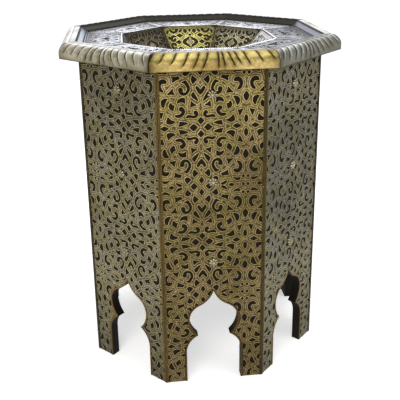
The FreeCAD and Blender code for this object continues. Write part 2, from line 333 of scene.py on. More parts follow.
def level_lines(field, columns, rows, level):
    """Lines where a field on a grid crosses a level, each as (points, closed)."""
    above = field > level
    wide = field.shape[1]
    count = field.size

    def crossing(first, second, low, high):
        share = (level - first) / np.where(second == first, 1, second - first)
        return low + (high - low) * np.clip(share, 0, 1)

    flat_x = crossing(field[:, :-1], field[:, 1:], columns[:-1][None, :], columns[1:][None, :])
    tall_y = crossing(field[:-1], field[1:], rows[:-1][:, None], rows[1:][:, None])
    corner = np.arange(count).reshape(field.shape)
    bottom = corner[:-1, :-1]
    top = corner[1:, :-1]
    left = corner[:-1, :-1] + count
    right = corner[:-1, 1:] + count
    case = above[:-1, :-1] + 2 * above[:-1, 1:] + 4 * above[1:, 1:] + 8 * above[1:, :-1]
    joined = {
        1: [(left, bottom)], 2: [(bottom, right)], 3: [(left, right)], 4: [(right, top)],
        5: [(left, bottom), (right, top)], 6: [(bottom, top)], 7: [(left, top)], 8: [(left, top)],
        9: [(bottom, top)], 10: [(bottom, right), (left, top)], 11: [(right, top)],
        12: [(left, right)], 13: [(bottom, right)], 14: [(left, bottom)],
    }
    links = {}
    for number, pairs in joined.items():
        at = case == number
        for first, second in pairs:
            for a, b in zip(first[at].tolist(), second[at].tolist()):
                links.setdefault(a, []).append(b)
                links.setdefault(b, []).append(a)

    def place_of(edge):
        row, column = divmod(edge % count, wide)
        if edge < count:
            return flat_x[row, column], rows[row]
        return columns[column], tall_y[row, column]

    lines = []
    starts = [e for e, near in links.items() if len(near) == 1] + list(links)
    used = set()
    for start in starts:
        if start in used:
            continue
        chain = [start]
        used.add(start)
        while True:
            ahead = [e for e in links[chain[-1]] if e not in used]
            if not ahead:
                break
            chain.append(ahead[0])
            used.add(ahead[0])
        closed = len(chain) > 2 and chain[0] in links[chain[-1]]
        lines.append((np.array([place_of(e) for e in chain]), closed))
    return lines


def evened(points, closed, spacing):
    """The same line with points at an even spacing."""
    line = np.concatenate([points, points[:1]]) if closed else points
    run = np.concatenate([[0], np.cumsum(np.hypot(*np.diff(line, axis=0).T))])
    count = max(int(round(run[-1] / spacing)), FEWEST_POINTS)
    at = np.linspace(0, run[-1], count + 1)
    even = np.stack([np.interp(at, run, line[:, k]) for k in (0, 1)], -1)
    return even[:-1] if closed else even


def flat_triangles(points, edges):
    """Triangles over points and edges in a plane, all counter-clockwise."""
    made = delaunay_2d_cdt([Vector(p) for p in points.tolist()], edges, [], 0, WELD)
    at = np.array([tuple(p) for p in made[0]])
    faces = np.array([f for f in made[2] if len(f) == 3])
    a, b, c = (at[faces[:, k]] for k in range(3))
    area = (b[:, 0] - a[:, 0]) * (c[:, 1] - a[:, 1]) - (b[:, 1] - a[:, 1]) * (c[:, 0] - a[:, 0])
    faces[area < 0] = faces[area < 0][:, ::-1]
    return at, faces[np.abs(area) > SLIVER], made[3]


def kept(at, faces, inside):
    """The faces whose middle lies inside."""
    return faces[inside(at[faces].mean(axis=1)) > 0]


def border_of(faces):
    """Directed edges that only one face uses."""
    edges = np.concatenate([faces[:, [0, 1]], faces[:, [1, 2]], faces[:, [2, 0]]])
    size = faces.max() + 1
    key = edges[:, 0] * size + edges[:, 1]
    back = edges[:, 1] * size + edges[:, 0]
    return edges[~np.isin(key, back)]


def closed_sheet(lines, inside, height):
    """A closed sheet with a chased front and a flat back, as points of (along, up, height) and faces."""
    starts = np.cumsum([0] + [len(line) for line, _ in lines])
    edges = []
    for first, (line, closed) in zip(starts.tolist(), lines):
        edges += [(first + i, first + i + 1) for i in range(len(line) - 1)]
        if closed:
            edges.append((first + len(line) - 1, first))
    at, faces, _ = flat_triangles(np.concatenate([line for line, _ in lines]), edges)
    front = kept(at, faces, inside)
    used = np.unique(front)
    index = np.zeros(len(at), int)
    index[used] = np.arange(len(used))
    at = at[used]
    front = index[front]
    border = border_of(front)
    rim = np.unique(border)
    local = np.zeros(len(at), int)
    local[rim] = np.arange(len(rim))
    back_at, back, origins = flat_triangles(at[rim], local[border].tolist())
    source = np.array([o[0] if o else 0 for o in origins])
    back = source[kept(back_at, back, inside)][:, ::-1] + len(at)
    walls = np.column_stack([border[:, ::-1], local[border] + len(at)])
    points = np.concatenate([
        np.column_stack([at, height(at)]),
        np.column_stack([at[rim], np.zeros(len(rim))]),
    ])
    return points, front.tolist() + walls.tolist() + back.tolist()


def shaped(distance, profile, column):
    """Height or polish at distances, read from a profile."""
    table = np.array(profile)
    return np.interp(distance, table[:, 0], table[:, column])


def chasing_lines(grid, values, profile, spacing):
    """Lines along which the height of a chased sheet changes."""
    lines = []
    for distance, *_ in profile:
        level = max(distance, LOWEST_LEVEL)
        for line, closed in level_lines(values, grid.columns, grid.rows, level):
            if len(line) > SHORT_LINE:
                lines.append((evened(line, closed, spacing + SPREAD * distance), closed))
    return lines


def turned_to(face):
    """Rotation that carries face 1 to the numbered face."""
    return Matrix.Rotation(2 * HALF_ANGLE * (face - 1), 4, "Z")


# From what angle in degrees an edge shows sharp, and the same on rounded shapes
SHARP = 35.0
ROUNDED_SHARP = 50.0


def new_piece(name, points, faces, material, slot, replaced=(), face=1, values=None, sharp=SHARP):
    """A piece of the object from points in millimetres, riding on the one body."""
    mesh = bpy.data.meshes.new(name)
    mesh.from_pydata((np.asarray(points) * MM).tolist(), [], [list(f) for f in faces])
    mesh.transform(turned_to(face))
    for key, numbers in (values or {}).items():
        attribute = mesh.attributes.new(key, "FLOAT", "POINT")
        attribute.data.foreach_set("value", np.asarray(numbers, np.float32))
    mesh.shade_smooth()
    mesh.set_sharp_from_angle(angle=math.radians(sharp))
    mesh.materials.append(material)
    piece = bpy.data.objects.new(name, mesh)
    bpy.context.scene.collection.objects.link(piece)
    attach(piece, "root")
    if replaced:
        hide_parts(*replaced)
    return piece


# Materials


def plug(tree, socket, value):
    """Set a socket to a number or a colour, or link another socket to it."""
    if isinstance(value, bpy.types.NodeSocket):
        tree.links.new(value, socket)
    else:
        socket.default_value = value


def wire(tree, made, inputs):
    """Set or link the inputs of a node by name."""
    for key, value in inputs.items():
        plug(tree, made.inputs[key], value)


def node(tree, kind, inputs=None, **settings):
    """A shader node with its inputs set or linked."""
    made = tree.nodes.new("ShaderNode" + kind)
    for key, value in settings.items():
        setattr(made, key, value)
    wire(tree, made, inputs or {})
    return made


def blank(name):
    """A material with one surface shader."""
    material = bpy.data.materials.new(name)
    material.use_nodes = True
    tree = material.node_tree
    return material, tree, tree.nodes["Principled BSDF"]


def noise(tree, place, scale, detail=4.0, roughness=0.55):
    """Strength of a noise at a scale of features per metre."""
    inputs = {"Vector": place, "Scale": scale, "Detail": detail, "Roughness": roughness}
    return node(tree, "TexNoise", inputs).outputs["Fac"]


def between(tree, value, low, high, first=0.0, last=1.0):
    """A value mapped from one range to another, held at the ends."""
    inputs = {"Value": value, "From Min": low, "From Max": high, "To Min": first, "To Max": last}
    return node(tree, "MapRange", inputs).outputs["Result"]


def maths(tree, operation, first, second):
    """A sum, product or the like of two values."""
    made = node(tree, "Math", operation=operation)
    plug(tree, made.inputs[0], first)
    plug(tree, made.inputs[1], second)
    return made.outputs["Value"]


def mixed(tree, share, first, second, blend="MIX"):
    """Two colours mixed."""
    made = node(tree, "Mix", data_type="RGBA", blend_type=blend)
    sockets = {socket.identifier: socket for socket in made.inputs}
    plug(tree, sockets["Factor_Float"], share)
    plug(tree, sockets["A_Color"], first)
    plug(tree, sockets["B_Color"], second)
    return next(s for s in made.outputs if s.identifier == "Result_Color")


def bump(tree, height, strength, distance):
    """The lean of a surface that follows a height."""
    inputs = {"Height": height, "Strength": strength, "Distance": distance}
    return node(tree, "Bump", inputs).outputs["Normal"]


def rise_of(tree, name="rise"):
    """A value kept on the points of the mesh."""
    return node(tree, "Attribute", attribute_name=name).outputs["Fac"]


def colour(red, green, blue):
    """A colour given as it shows on a screen, from 0 to 255."""
    parts = [v / 255 for v in (red, green, blue)]
    linear = [v / 12.92 if v <= 0.04045 else ((v + 0.055) / 1.055) ** 2.4 for v in parts]
    return (*linear, 1.0)


def brighter(shade, times):
    """A colour made brighter, up to white."""
    return (*(min(v * times, 1.0) for v in shade[:3]), 1.0)


# Noises on metal in features per metre, the stretch of the wood's grain, and depths in metres
MOTTLE = 210.0
BLOTCHES = 16.0
PATCHES = 34.0
SOFT_DENTS = 420.0
FINE_DENTS = 1900.0
DENT_DEPTH = 0.0006
GRAIN = (160, 160, 9)
GRAIN_DEPTH = 0.0008
# The colour that painted shade multiplies into metal, then the colours of its stains
PAINTED_SHADE_COLOUR = colour(70, 62, 48)
OLIVE_STAIN = colour(186, 180, 156)
GREY_STAIN = colour(182, 182, 190)


def old_metal(name, crest, hollow, stain, bands=(), rough=(0.3, 0.5), grime=0.5, dents=0.3, soot_and_shade=0.3,
              polish=1.0, patina=None, shine=0.5, painted_glint=None):
    """Old sheet metal: polished bright where it stands proud, dark in the hollows, and tarnished; where a
    glint is given, its highest crests get a painted highlight, and it is darkened by the painted shade kept
    on the mesh.
    """
    material, tree, shader = blank(name)
    place = node(tree, "TexCoord").outputs["Object"]
    mottle = noise(tree, place, MOTTLE, 5.0, 0.65)
    wear_and_highlight = maths(tree, "ADD", rise_of(tree), between(tree, mottle, 0.3, 0.7, -0.22, 0.22))
    if patina:
        ragged = between(tree, mottle, 0.3, 0.7, -0.08, 0.08)
        patches = maths(tree, "ADD", noise(tree, place, PATCHES, 3.0, 0.7), ragged)
        crest = mixed(tree, between(tree, patches, 0.42, 0.62), crest, patina)
    metal = mixed(tree, between(tree, wear_and_highlight, 0.05, 0.95), hollow, crest)
    # Painted highlight: the highest crests take a brighter glint colour
    if painted_glint:
        metal = mixed(tree, between(tree, wear_and_highlight, 0.85, 1.2), metal, painted_glint)
    for key, shade in bands:
        worn = mixed(tree, between(tree, wear_and_highlight, 0.0, 0.7), hollow, shade)
        metal = mixed(tree, rise_of(tree, key), metal, worn)
    blotch = noise(tree, place, BLOTCHES, 3.0, 0.6)
    stained = maths(tree, "MULTIPLY", between(tree, blotch, 0.42, 0.68), grime)
    metal = mixed(tree, stained, metal, stain, "MULTIPLY")
    clean = between(tree, wear_and_highlight, 0.0, 0.45)
    gloss = between(tree, mottle, 0.25, 0.75, *rough)
    fine = maths(tree, "MULTIPLY", noise(tree, place, FINE_DENTS), 0.35)
    uneven = maths(tree, "ADD", noise(tree, place, SOFT_DENTS, 2.0), fine)
    # The base colour is darkened by the painted shade kept on the mesh
    wire(tree, shader, {
        "Base Color": mixed(tree, rise_of(tree, "painted_shade"), metal, PAINTED_SHADE_COLOUR, "MULTIPLY"),
        "Metallic": between(tree, clean, 0.0, 1.0, polish * (1.0 - soot_and_shade), polish),
        "Roughness": maths(tree, "ADD", gloss, between(tree, clean, 0.0, 1.0, 0.5 * soot_and_shade, 0.0)),
        "Specular IOR Level": shine,
        "Normal": bump(tree, uneven, dents, DENT_DEPTH),
    })
    return material


def dark_wood(name, light, dark, gloss=0.18):
    """Blackened wood with long grain."""
    material, tree, shader = blank(name)
    place = node(tree, "TexCoord").outputs["Object"]
    along = node(tree, "Mapping", {"Vector": place, "Scale": GRAIN}).outputs["Vector"]
    fibre = noise(tree, along, 2.2, 6.0, 0.7)
    pores = maths(tree, "MULTIPLY", noise(tree, along, 9.0, 3.0, 0.6), 0.25)
    shade = maths(tree, "ADD", maths(tree, "MULTIPLY", fibre, 0.75), pores)
    wire(tree, shader, {
        "Base Color": mixed(tree, between(tree, shade, 0.35, 0.68), dark, light),
        "Roughness": between(tree, fibre, 0.3, 0.7, 0.55, 0.82),
        "Specular IOR Level": gloss,
        "Normal": bump(tree, shade, 0.4, GRAIN_DEPTH),
    })
    return material


# How much brighter than its crest the metal is on its highest crests: a painted highlight
SIDE_PAINTED_GLINT = 1.75
RIM_PAINTED_GLINT = 1.45
EDGE_BRASS = [("band", colour(112, 90, 48))]
# Three copies of one brass for the sides, whose tones paint in how each side shows in its light, which is
# painted light and shade; each takes a painted highlight on its crests
side_brass = {
    key: old_metal("side_brass_" + key, crest, hollow, OLIVE_STAIN, EDGE_BRASS, patina=patina,
                   painted_glint=brighter(crest, SIDE_PAINTED_GLINT))
    for key, crest, patina, hollow in (
        ("gold", colour(157, 141, 89), colour(179, 157, 115), colour(58, 49, 26)),
        ("brown", colour(140, 131, 95), colour(136, 131, 114), colour(56, 49, 34)),
        ("grey", colour(132, 124, 91), colour(127, 125, 113), colour(46, 42, 30)),
    )
}
SIDE_PAINTED_LIGHT = ("gold", "grey", "brown", "gold", "grey", "brown", "grey", "brown")

# Colours of the moulding, one copy for each light that a side shows, which is painted light and shade:
# crest, hollow, painted highlights on the lobes, the thin line along its inner edge, a painted highlight
# that is painted dark at the rear, and bands of painted shade
RIM_COLOURS = {
    "gold": (colour(184, 163, 108), colour(44, 33, 14), colour(218, 208, 134), colour(182, 183, 186),
             colour(124, 116, 54)),
    "pale": (colour(160, 155, 134), colour(42, 37, 26), colour(252, 252, 250), colour(206, 208, 212),
             colour(104, 98, 76)),
    "grey": (colour(107, 105, 92), colour(34, 34, 27), colour(198, 201, 200), colour(140, 143, 146),
             colour(104, 104, 90)),
    "white": (colour(160, 155, 137), colour(56, 53, 46), colour(246, 246, 246), colour(228, 228, 232),
              colour(118, 112, 90)),
    "rear": (colour(154, 142, 102), colour(17, 16, 12), colour(196, 188, 150), colour(17, 16, 12),
             colour(104, 96, 66)),
}
RIM_PATINA = {"gold": colour(168, 141, 86), "pale": colour(140, 133, 110), "grey": colour(92, 90, 77)}
# The rear copy is dark, dull and matt as painted shade; all copies take a painted highlight on their crests
rim_brass = {
    key: old_metal("rim_brass_" + key, crest, hollow, OLIVE_STAIN,
                   [("wear_and_highlight", wear_and_highlight), ("shade_bands", shade_bands), ("fillet", fillet)],
                   grime=0.75, dents=0.5, soot_and_shade=0.92 if key == "rear" else 0.3,
                   patina=RIM_PATINA.get(key), shine=0.15 if key == "rear" else 0.5,
                   painted_glint=brighter(crest, RIM_PAINTED_GLINT))
    for key, (crest, hollow, wear_and_highlight, fillet, shade_bands) in RIM_COLOURS.items()
}
RIM_PAINTED_LIGHT = ("gold", "grey", "white", "rear", "rear", "rear", "white", "pale")

ROSETTE_METAL = [("rosette", colour(166, 154, 128))]
# Copies of one brass for the walls of the dish as each shows in its light: the bright copy is a painted
# reflection, the brown one painted shade, and the yellow one takes a painted highlight
dish_brass = {
    key: old_metal("dish_brass_" + key, crest, hollow, stain, bands, painted_glint=painted_glint)
    for key, crest, hollow, stain, bands, painted_glint in (
        ("yellow", colour(216, 206, 124), colour(58, 50, 24), OLIVE_STAIN, ROSETTE_METAL,
         colour(252, 246, 172)),
        ("olive", colour(184, 178, 146), colour(62, 58, 42), OLIVE_STAIN, ROSETTE_METAL, None),
        ("brown", colour(116, 108, 87), colour(36, 32, 24), OLIVE_STAIN, ROSETTE_METAL, None),
        ("bright", colour(250, 250, 250), colour(150, 148, 138), GREY_STAIN, (), None),
    )
}
DISH_PAINTED_LIGHT = ("yellow", "olive", "bright", "olive", "yellow", "brown", "brown", "olive")

# Copies of one white metal lining as each side shows in its light: pale and blue are painted reflections,
# and the dark, dull, less metallic copy is painted shade
lining_metal = {
    key: old_metal("lining_" + key, crest, hollow, GREY_STAIN, rough=(0.22, 0.3), grime=0.12,
                   dents=0.05, soot_and_shade=1.0, polish=polish, shine=shine)
    for key, crest, hollow, polish, shine in (
        ("pale", colour(216, 224, 242), colour(22, 25, 33), 1.0, 0.5),
        ("blue", colour(140, 144, 158), colour(30, 31, 36), 1.0, 0.5),
        ("dark", colour(46, 44, 35), colour(13, 13, 10), 0.35, 0.18),
    )
}
LINING_PAINTED_LIGHT = ("pale", "blue", "blue", "dark", "dark", "dark", "pale", "pale")

# Copies of one brass for the strips, lighter or darker as each corner shows in its light: painted light and
# shade
strip_brass = {
    key: old_metal("strip_brass_" + key, crest, hollow, OLIVE_STAIN, rough=(0.32, 0.5))
    for key, crest, hollow in (
        ("gold", colour(106, 89, 52), colour(26, 20, 11)),
        ("brown", colour(82, 70, 42), colour(22, 17, 10)),
        ("dull", colour(66, 60, 45), colour(20, 18, 13)),
    )
}
STRIP_PAINTED_LIGHT = ("brown", "dull", "dull", "brown", "dull", "dull", "dull", "gold")

# Copies of one white metal for the plates, bright or dull as each side shows in its light: painted light
# and shade
white_metal = {
    key: old_metal("white_metal_" + key, crest, hollow, GREY_STAIN, [("edge", colour(244, 245, 250))],
                   rough=(0.26, 0.4), dents=0.12)
    for key, crest, hollow in (
        ("bright", colour(238, 239, 246), colour(70, 72, 79)),
        ("dull", colour(176, 178, 184), colour(40, 42, 46)),
    )
}
PLATE_PAINTED_LIGHT = ("bright", "dull", "dull", "bright", "bright", "bright", "bright", "bright")

tack_brass = old_metal("tack_brass", colour(140, 118, 66), colour(120, 98, 52), OLIVE_STAIN)
# The bosses take a painted highlight on their crests
boss_metal = old_metal("boss_metal", colour(138, 130, 105), colour(36, 30, 20), OLIVE_STAIN,
                       rough=(0.22, 0.48), grime=0.8, painted_glint=colour(186, 178, 148))
black_wood = dark_wood("black_wood", colour(28, 23, 15), colour(14, 12, 8), 0.12)
dish_wood = dark_wood("dish_wood", colour(62, 56, 40), colour(36, 32, 23), 0.15)
inner_wood = dark_wood("inner_wood", colour(84, 64, 44), colour(46, 34, 24))
backing_wood = dark_wood("backing_wood", colour(52, 47, 38), colour(28, 25, 20))


# The eight pierced sides

# Points on the upright of the arch, and steps of each of its arcs from the shoulder to the apex
JAMB_POINTS = 40
ARC_STEPS = (28, 24, 24, 26)
# The step of the grids of distances, and the spacings of points along chased lines and borders
FIELD_STEP = 0.5
LINE_SPACING = 0.94
BORDER_SPACING = 3.0
# How far past a strip and a boss the sheet under them is kept low
STRIP_COVER = 0.6
BOSS_COVER = 0.4
# How dark the painted shade on the sides is under the moulding, by height, and on each side at five heights
SHADE_UNDER_RIM = [(498.0, 0.0), (512.0, 0.5), (520.0, 1.0)]
SHADE_HEIGHTS = (20.0, 170.0, 300.0, 400.0, 465.0)
SIDE_SHADE = (
    (0.53, 0.45, 0.42, 0.27, 0.03), (0.2, 0.06, 0.36, 0.35, 0.06), (0.3, 0.1, 0.1, 0.1, 0.1),
    (0.4, 0.2, 0.1, 0.1, 0.0), (0.3, 0.1, 0.0, 0.1, 0.1), (0.4, 0.2, 0.1, 0.0, 0.1),
    (0.3, 0.1, 0.2, 0.1, 0.1), (0.42, 0.0, 0.04, 0.14, 0.3),
)
# A darker patch of painted shade at the right of the front: its height, its reach up and down, and how dark
# it is
FRONT_SHADE_PATCH = (362.0, 66.0, 0.3)


def bell(value, width, power=2):
    """1 where a value is zero, falling off evenly on both sides over a width."""
    return np.exp(-((np.abs(value) / width) ** power))


def arc_points(start, end, bulge, count):
    """Points on an arc from start up to end, without end; a positive bulge lies to the right."""
    start = np.array(start, float)
    end = np.array(end, float)
    chord = np.hypot(*(end - start))
    right = np.array([end[1] - start[1], start[0] - end[0]]) / chord
    radius = (chord**2 / 4 + bulge**2) / (2 * abs(bulge))
    sign = math.copysign(1.0, bulge)
    centre = (start + end) / 2 + right * (bulge - sign * radius)
    half = math.asin(min(chord / (2 * radius), 1.0))
    forward = (end - start) / chord
    angles = np.linspace(-half, half, count + 1)[:-1]
    return [centre + forward * radius * math.sin(a) + right * sign * radius * math.cos(a) for a in angles]


def arch_line():
    """The arch of face 1 as (along, up) points, from the right foot over the apex to the left foot."""
    jamb = BODY * TAN_HALF - LEG_WIDTH
    corners = [
        (jamb, SHOULDER_HEIGHT), (CUSP_HALF_GAP, CUSP_HEIGHT), (LOBE_HALF_WIDTH, LOBE_HEIGHT),
        (OGEE_HALF_WIDTH, OGEE_HEIGHT), (0.0, ARCH_HEIGHT),
    ]
    bulges = (SHOULDER_BULGE, CUSP_BULGE, LOBE_BULGE, -OGEE_BULGE)
    right = [(jamb, z) for z in np.linspace(PANEL_FOOT, SHOULDER_HEIGHT, JAMB_POINTS)[:-1]]
    for start, end, bulge, steps in zip(corners, corners[1:], bulges, ARC_STEPS):
        right += arc_points(start, end, bulge, steps)
    right = np.array(right)
    return np.concatenate([right, corners[-1:], right[::-1] * (-1, 1)])


def divided(corners, spacing, closed=True):
    """Straight runs through corners, with points at about a spacing."""
    corners = [np.array(c, float) for c in corners]
    runs = []
    for start, end in zip(corners, corners[1:] + corners[:1] if closed else corners[1:]):
        count = max(int(np.hypot(*(end - start)) / spacing), 1)
        runs.append(start + (end - start) * (np.arange(count) / count)[:, None])
    return np.concatenate(runs if closed else runs + [[corners[-1]]])


arch = arch_line()
side_half = BOARD * TAN_HALF
side_border = divided([
    (arch[0][0], PANEL_FOOT), (side_half, PANEL_FOOT), (side_half, PANEL_TOP),
    (-side_half, PANEL_TOP), (-side_half, PANEL_FOOT), (arch[-1][0], PANEL_FOOT),
], BORDER_SPACING, closed=False)
side_outline = np.concatenate([side_border, arch[::-1][1:-1]])


def arch_offset(points):
    """Distance outside the opening of the arch."""
    distance = distance_to_line(points, arch[::2], False)
    return np.where(is_inside(points, arch), -distance, distance)


ARCH = Grid((-side_half - 1, PANEL_FOOT - 1), (side_half + 1, PANEL_TOP + 1), FIELD_STEP, arch_offset)


def in_from_border(points):
    """Distance in from the upright and level edges of a side."""
    across = side_half - np.abs(points[:, 0])
    return np.minimum(across, np.minimum(points[:, 1] - PANEL_FOOT, PANEL_TOP - points[:, 1]))


def side_gap(points, place):
    """Distance outside the cut-outs that the margins of a side leave open."""
    margin = np.maximum(EDGING_MARGIN - ARCH.at(points), SIDE_MARGIN - in_from_border(points))
    return np.maximum(openwork(points, place) - FILED, margin)


def side_height(points, place):
    """Height of a side over its back."""
    chased = shaped(side_gap(points, place), CHASING, 1)
    boss = np.min([np.hypot(points[:, 0], points[:, 1] - z) for z in BOSS_HEIGHTS], axis=0)
    under_strip = side_half - np.abs(points[:, 0]) < STRIP_LEG + STRIP_COVER
    covered = under_strip | (boss < BOSS_RADIUS + BOSS_COVER)
    chased = np.where(covered, np.minimum(chased, FLAT_HEIGHT), chased)
    from_arch = ARCH.at(points)
    return np.where(from_arch < EDGING_WIDTH, shaped(from_arch, EDGING, 1), chased)


def side_sheet(place):
    """The pierced and chased sheet of a side, as points of (along, up, height) and faces."""
    gap = side_gap(ARCH.points, place).reshape(ARCH.values.shape)
    lines = [(side_outline, True)]
    lines += chasing_lines(ARCH, gap, CHASING[:-1], LINE_SPACING)
    lines += chasing_lines(ARCH, ARCH.values, EDGING[1:], 2 * LINE_SPACING)

    def inside(points):
        return np.minimum(np.minimum(side_gap(points, place), ARCH.at(points)), in_from_border(points))

    return closed_sheet(lines, inside, lambda points: side_height(points, place))


def add_sides():
    """The sheets of the eight sides."""
    sheets = {place: side_sheet(place) for place in sorted(set(TILE_PLACES))}
    for face in range(1, SIDES + 1):
        place = TILE_PLACES[face - 1]
        sheet, faces = sheets[place]
        along, up, height = sheet.T
        flat = sheet[:, :2]
        from_arch = ARCH.at(flat)
        band = from_arch < EDGING_WIDTH
        polish = np.where(band, shaped(from_arch, EDGING, 2), shaped(side_gap(flat, place), CHASING, 2))
        # Painted shade under the moulding and by height on each side
        painted_shade = np.interp(up, *np.array(SHADE_UNDER_RIM).T)
        painted_shade = np.maximum(painted_shade, np.interp(up, SHADE_HEIGHTS, SIDE_SHADE[face - 1]))
        if face == 1:
            middle, reach, patch_shade = FRONT_SHADE_PATCH
            painted_shade = painted_shade + patch_shade * bell(up - middle, reach) * np.clip(along / side_half, 0, 1)
        points = np.column_stack([along, -(BOARD + height), up])
        values = {"rise": np.where(height > 0, polish, 0), "band": band, "painted_shade": painted_shade}
        # The copy of brass that paints in this side's light
        chosen_material = side_brass[SIDE_PAINTED_LIGHT[face - 1]]
        new_piece(f"pierced_side_{face}", points, faces, chosen_material, "side_brass", [f"side_panel_{face}"],
                  face, values)


# The plates of the top and the linings of the dish

# Cut-outs of a top plate: across from its middle line, and out from the edge of the dish
PLATE_CUTS = [
    [(0.0, 21.0, 1), (4.2, 23.4), (9.0, 22.6, 1), (6.4, 30.0), (0.0, 39.5, 1), (-6.4, 30.0),
     (-9.0, 22.6, 1), (-4.2, 23.4)],
    [(0.0, 43.0, 1), (2.6, 47.5), (0.0, 53.0, 1), (-2.6, 47.5)],
    [(0.0, 7.5, 1), (2.6, 12.0), (0.0, 17.0, 1), (-2.6, 12.0)],
    [(27.0, 20.0, 1), (31.0, 23.5), (34.5, 30.5, 1), (29.0, 27.5)],
    [(8.0, 10.0, 1), (14.0, 13.2), (20.0, 9.0, 1), (14.0, 8.2)],
    [(35.0, 36.0, 1), (40.0, 41.0), (41.5, 49.5, 1), (36.0, 44.5)],
    [(28.0, 9.0, 1), (33.5, 12.5), (37.5, 18.5, 1), (31.5, 15.5)],
    [(44.0, 30.0, 1), (49.0, 35.5), (52.5, 43.0, 1), (46.5, 38.5)],
    [(9.0, 52.5, 1), (13.5, 50.0), (18.5, 53.5, 1)],
    [(30.0, 53.0, 1), (35.0, 51.6), (39.0, 54.0, 1)],
    [(48.0, 48.0, 1), (53.0, 50.0), (57.0, 54.0, 1), (51.0, 53.0)],
]
PLATE_SCROLLS = [
    [(9.0, 29.0, 0.4), (13.0, 24.5, 1.1), (18.0, 23.0, 1.2), (22.4, 26.0, 1.3), (22.2, 30.8, 1.4),
     (18.6, 32.4, 1.9)],
    [(10.0, 38.0, 0.4), (14.5, 43.5, 1.1), (20.5, 46.0, 1.2), (26.0, 44.0, 1.3), (28.0, 39.4, 1.4),
     (25.4, 36.4, 1.9)],
]
# How far in from the edges of a plate its cut-outs stop
PLATE_MARGIN = 4.6
# Along a plate's edges: the widths of its bright edge and dull seam, and the reach and darkness of the
# painted shadow that the moulding casts on it
WHITE_EDGE = 3.4
PLATE_SEAM = 1.2
PLATE_SHADOW_REACH = 26.0
PLATE_SHADOW = 0.75
# The beads of a plate: their mesh, their pitch and inset, how deep they sink, and their polish
BEAD_RADIUS = 1.1
BEAD_RINGS = 4
BEAD_AROUND = 8
BEAD_PITCH = 2.9
BEAD_INSET = 2.2
BEAD_SINK = 0.3
BEAD_RISE = 0.9
# How far from the inner and the outer corners of a plate its rows of beads turn, in insets
BEAD_INNER_TURN = 0.7
BEAD_OUTER_TURN = 1.5

# Cut-outs of a dish lining: across from its middle line, and down from its top to their mirror line
DISH_MIRROR = 34.0
DISH_CUTS = [
    [(8.2, 6.6, 1), (11.0, 9.6), (10.8, 12.8), (8.0, 15.4, 1), (5.4, 12.6), (5.6, 9.0)],
    [(12.8, 20.4, 1), (18.2, 16.4, 1), (24.2, 19.6, 1), (18.8, 24.4, 1)],
    [(0.0, 16.6, 1), (2.6, 19.2, 1), (0.0, 21.8, 1), (-2.6, 19.2, 1)],
    [(16.2, 34.0, 1), (20.6, 29.6, 1), (26.2, 34.0, 1), (20.6, 38.4, 1)],
    [(14.2, 7.0, 1), (18.0, 9.2), (19.4, 13.4, 1), (15.4, 12.0)],
    [(39.0, 8.0, 1), (42.6, 12.6), (41.4, 17.4, 1), (38.6, 13.0)],
    [(37.6, 21.4, 1), (40.8, 25.0), (38.8, 29.4, 1), (36.8, 25.4)],
    [(0.0, 6.4, 1), (1.9, 9.4), (0.0, 12.6, 1), (-1.9, 9.4)],
]
DISH_SCROLLS = [
    [(2.0, 24.4, 0.9), (4.6, 27.2, 1.6), (8.2, 29.6, 2.0), (10.8, 34.0, 2.7), (8.2, 38.4, 2.0),
     (4.6, 40.8, 1.6), (2.0, 43.6, 0.9)],
    [(35.6, 7.6, 0.8), (33.4, 11.6, 1.5), (29.4, 13.6, 1.6), (25.2, 11.8, 1.6), (23.6, 7.8, 2.2)],
    [(26.0, 22.4, 0.9), (30.2, 21.6, 1.6), (33.6, 24.8, 1.8), (33.2, 29.6, 1.6), (29.2, 31.2, 1.4),
     (27.2, 28.2, 1.9)],
]
# How far in from the edges and from the top of a lining its cut-outs stop, and the width of its dull seam
DISH_MARGIN = 3.4
DISH_TOP_MARGIN = 5.6
DISH_SEAM = 0.7
# Painted shade at a lining's top: how dark, the run over which it fades, and how many such runs down it
# ends
DISH_TOP_SHADE = 0.68
DISH_TOP_FADE = 14
DISH_TOP_END = 1.4
# Painted shade at its flanks: how dark, and the shares of its half width where it starts and over which it
# grows
DISH_SIDE_SHADE = 0.62
DISH_SIDE_START = 0.6
DISH_SIDE_GROWTH = 0.36
ROSETTE_RADIUS = 5.6
ROSETTE_PETALS = 6
ROSETTE_DIP = 0.65


def wedge_sheet(depth, halves, margin, seam, pattern, outer_margin=0.0):
    """A pierced wedge of sheet, drawn as (along, out) from its inner edge, its faces and its polish."""
    inner_half, outer_half = halves
    slope = (outer_half - inner_half) / depth

    def inset(points):
        flank = inner_half + slope * points[:, 1] - np.abs(points[:, 0])
        across = np.minimum(points[:, 1], depth - points[:, 1])
        return np.minimum(across, flank / math.hypot(1, slope))

    def gap(points):
        border = np.maximum(margin - inset(points), outer_margin - (depth - points[:, 1]))
        return np.maximum(pattern(points) - FILED, border)

    half = max(inner_half, outer_half)
    grid = Grid((-half - 1, -1), (half + 1, depth + 1), FIELD_STEP, gap)
    corners = [(-inner_half, 0), (inner_half, 0), (outer_half, depth), (-outer_half, depth)]
    lines = [(divided(corners, BORDER_SPACING), True)]
    lines += chasing_lines(grid, grid.values, CHASING[:-1], LINE_SPACING)
    sheet, faces = closed_sheet(
        lines,
        lambda points: np.minimum(gap(points), inset(points)),
        lambda points: shaped(gap(points), CHASING, 1),
    )
    polish = shaped(gap(sheet[:, :2]), CHASING, 2) * np.clip(inset(sheet[:, :2]) / seam, 0, 1)
    return sheet, faces, np.where(sheet[:, 2] > 0, polish, 0)


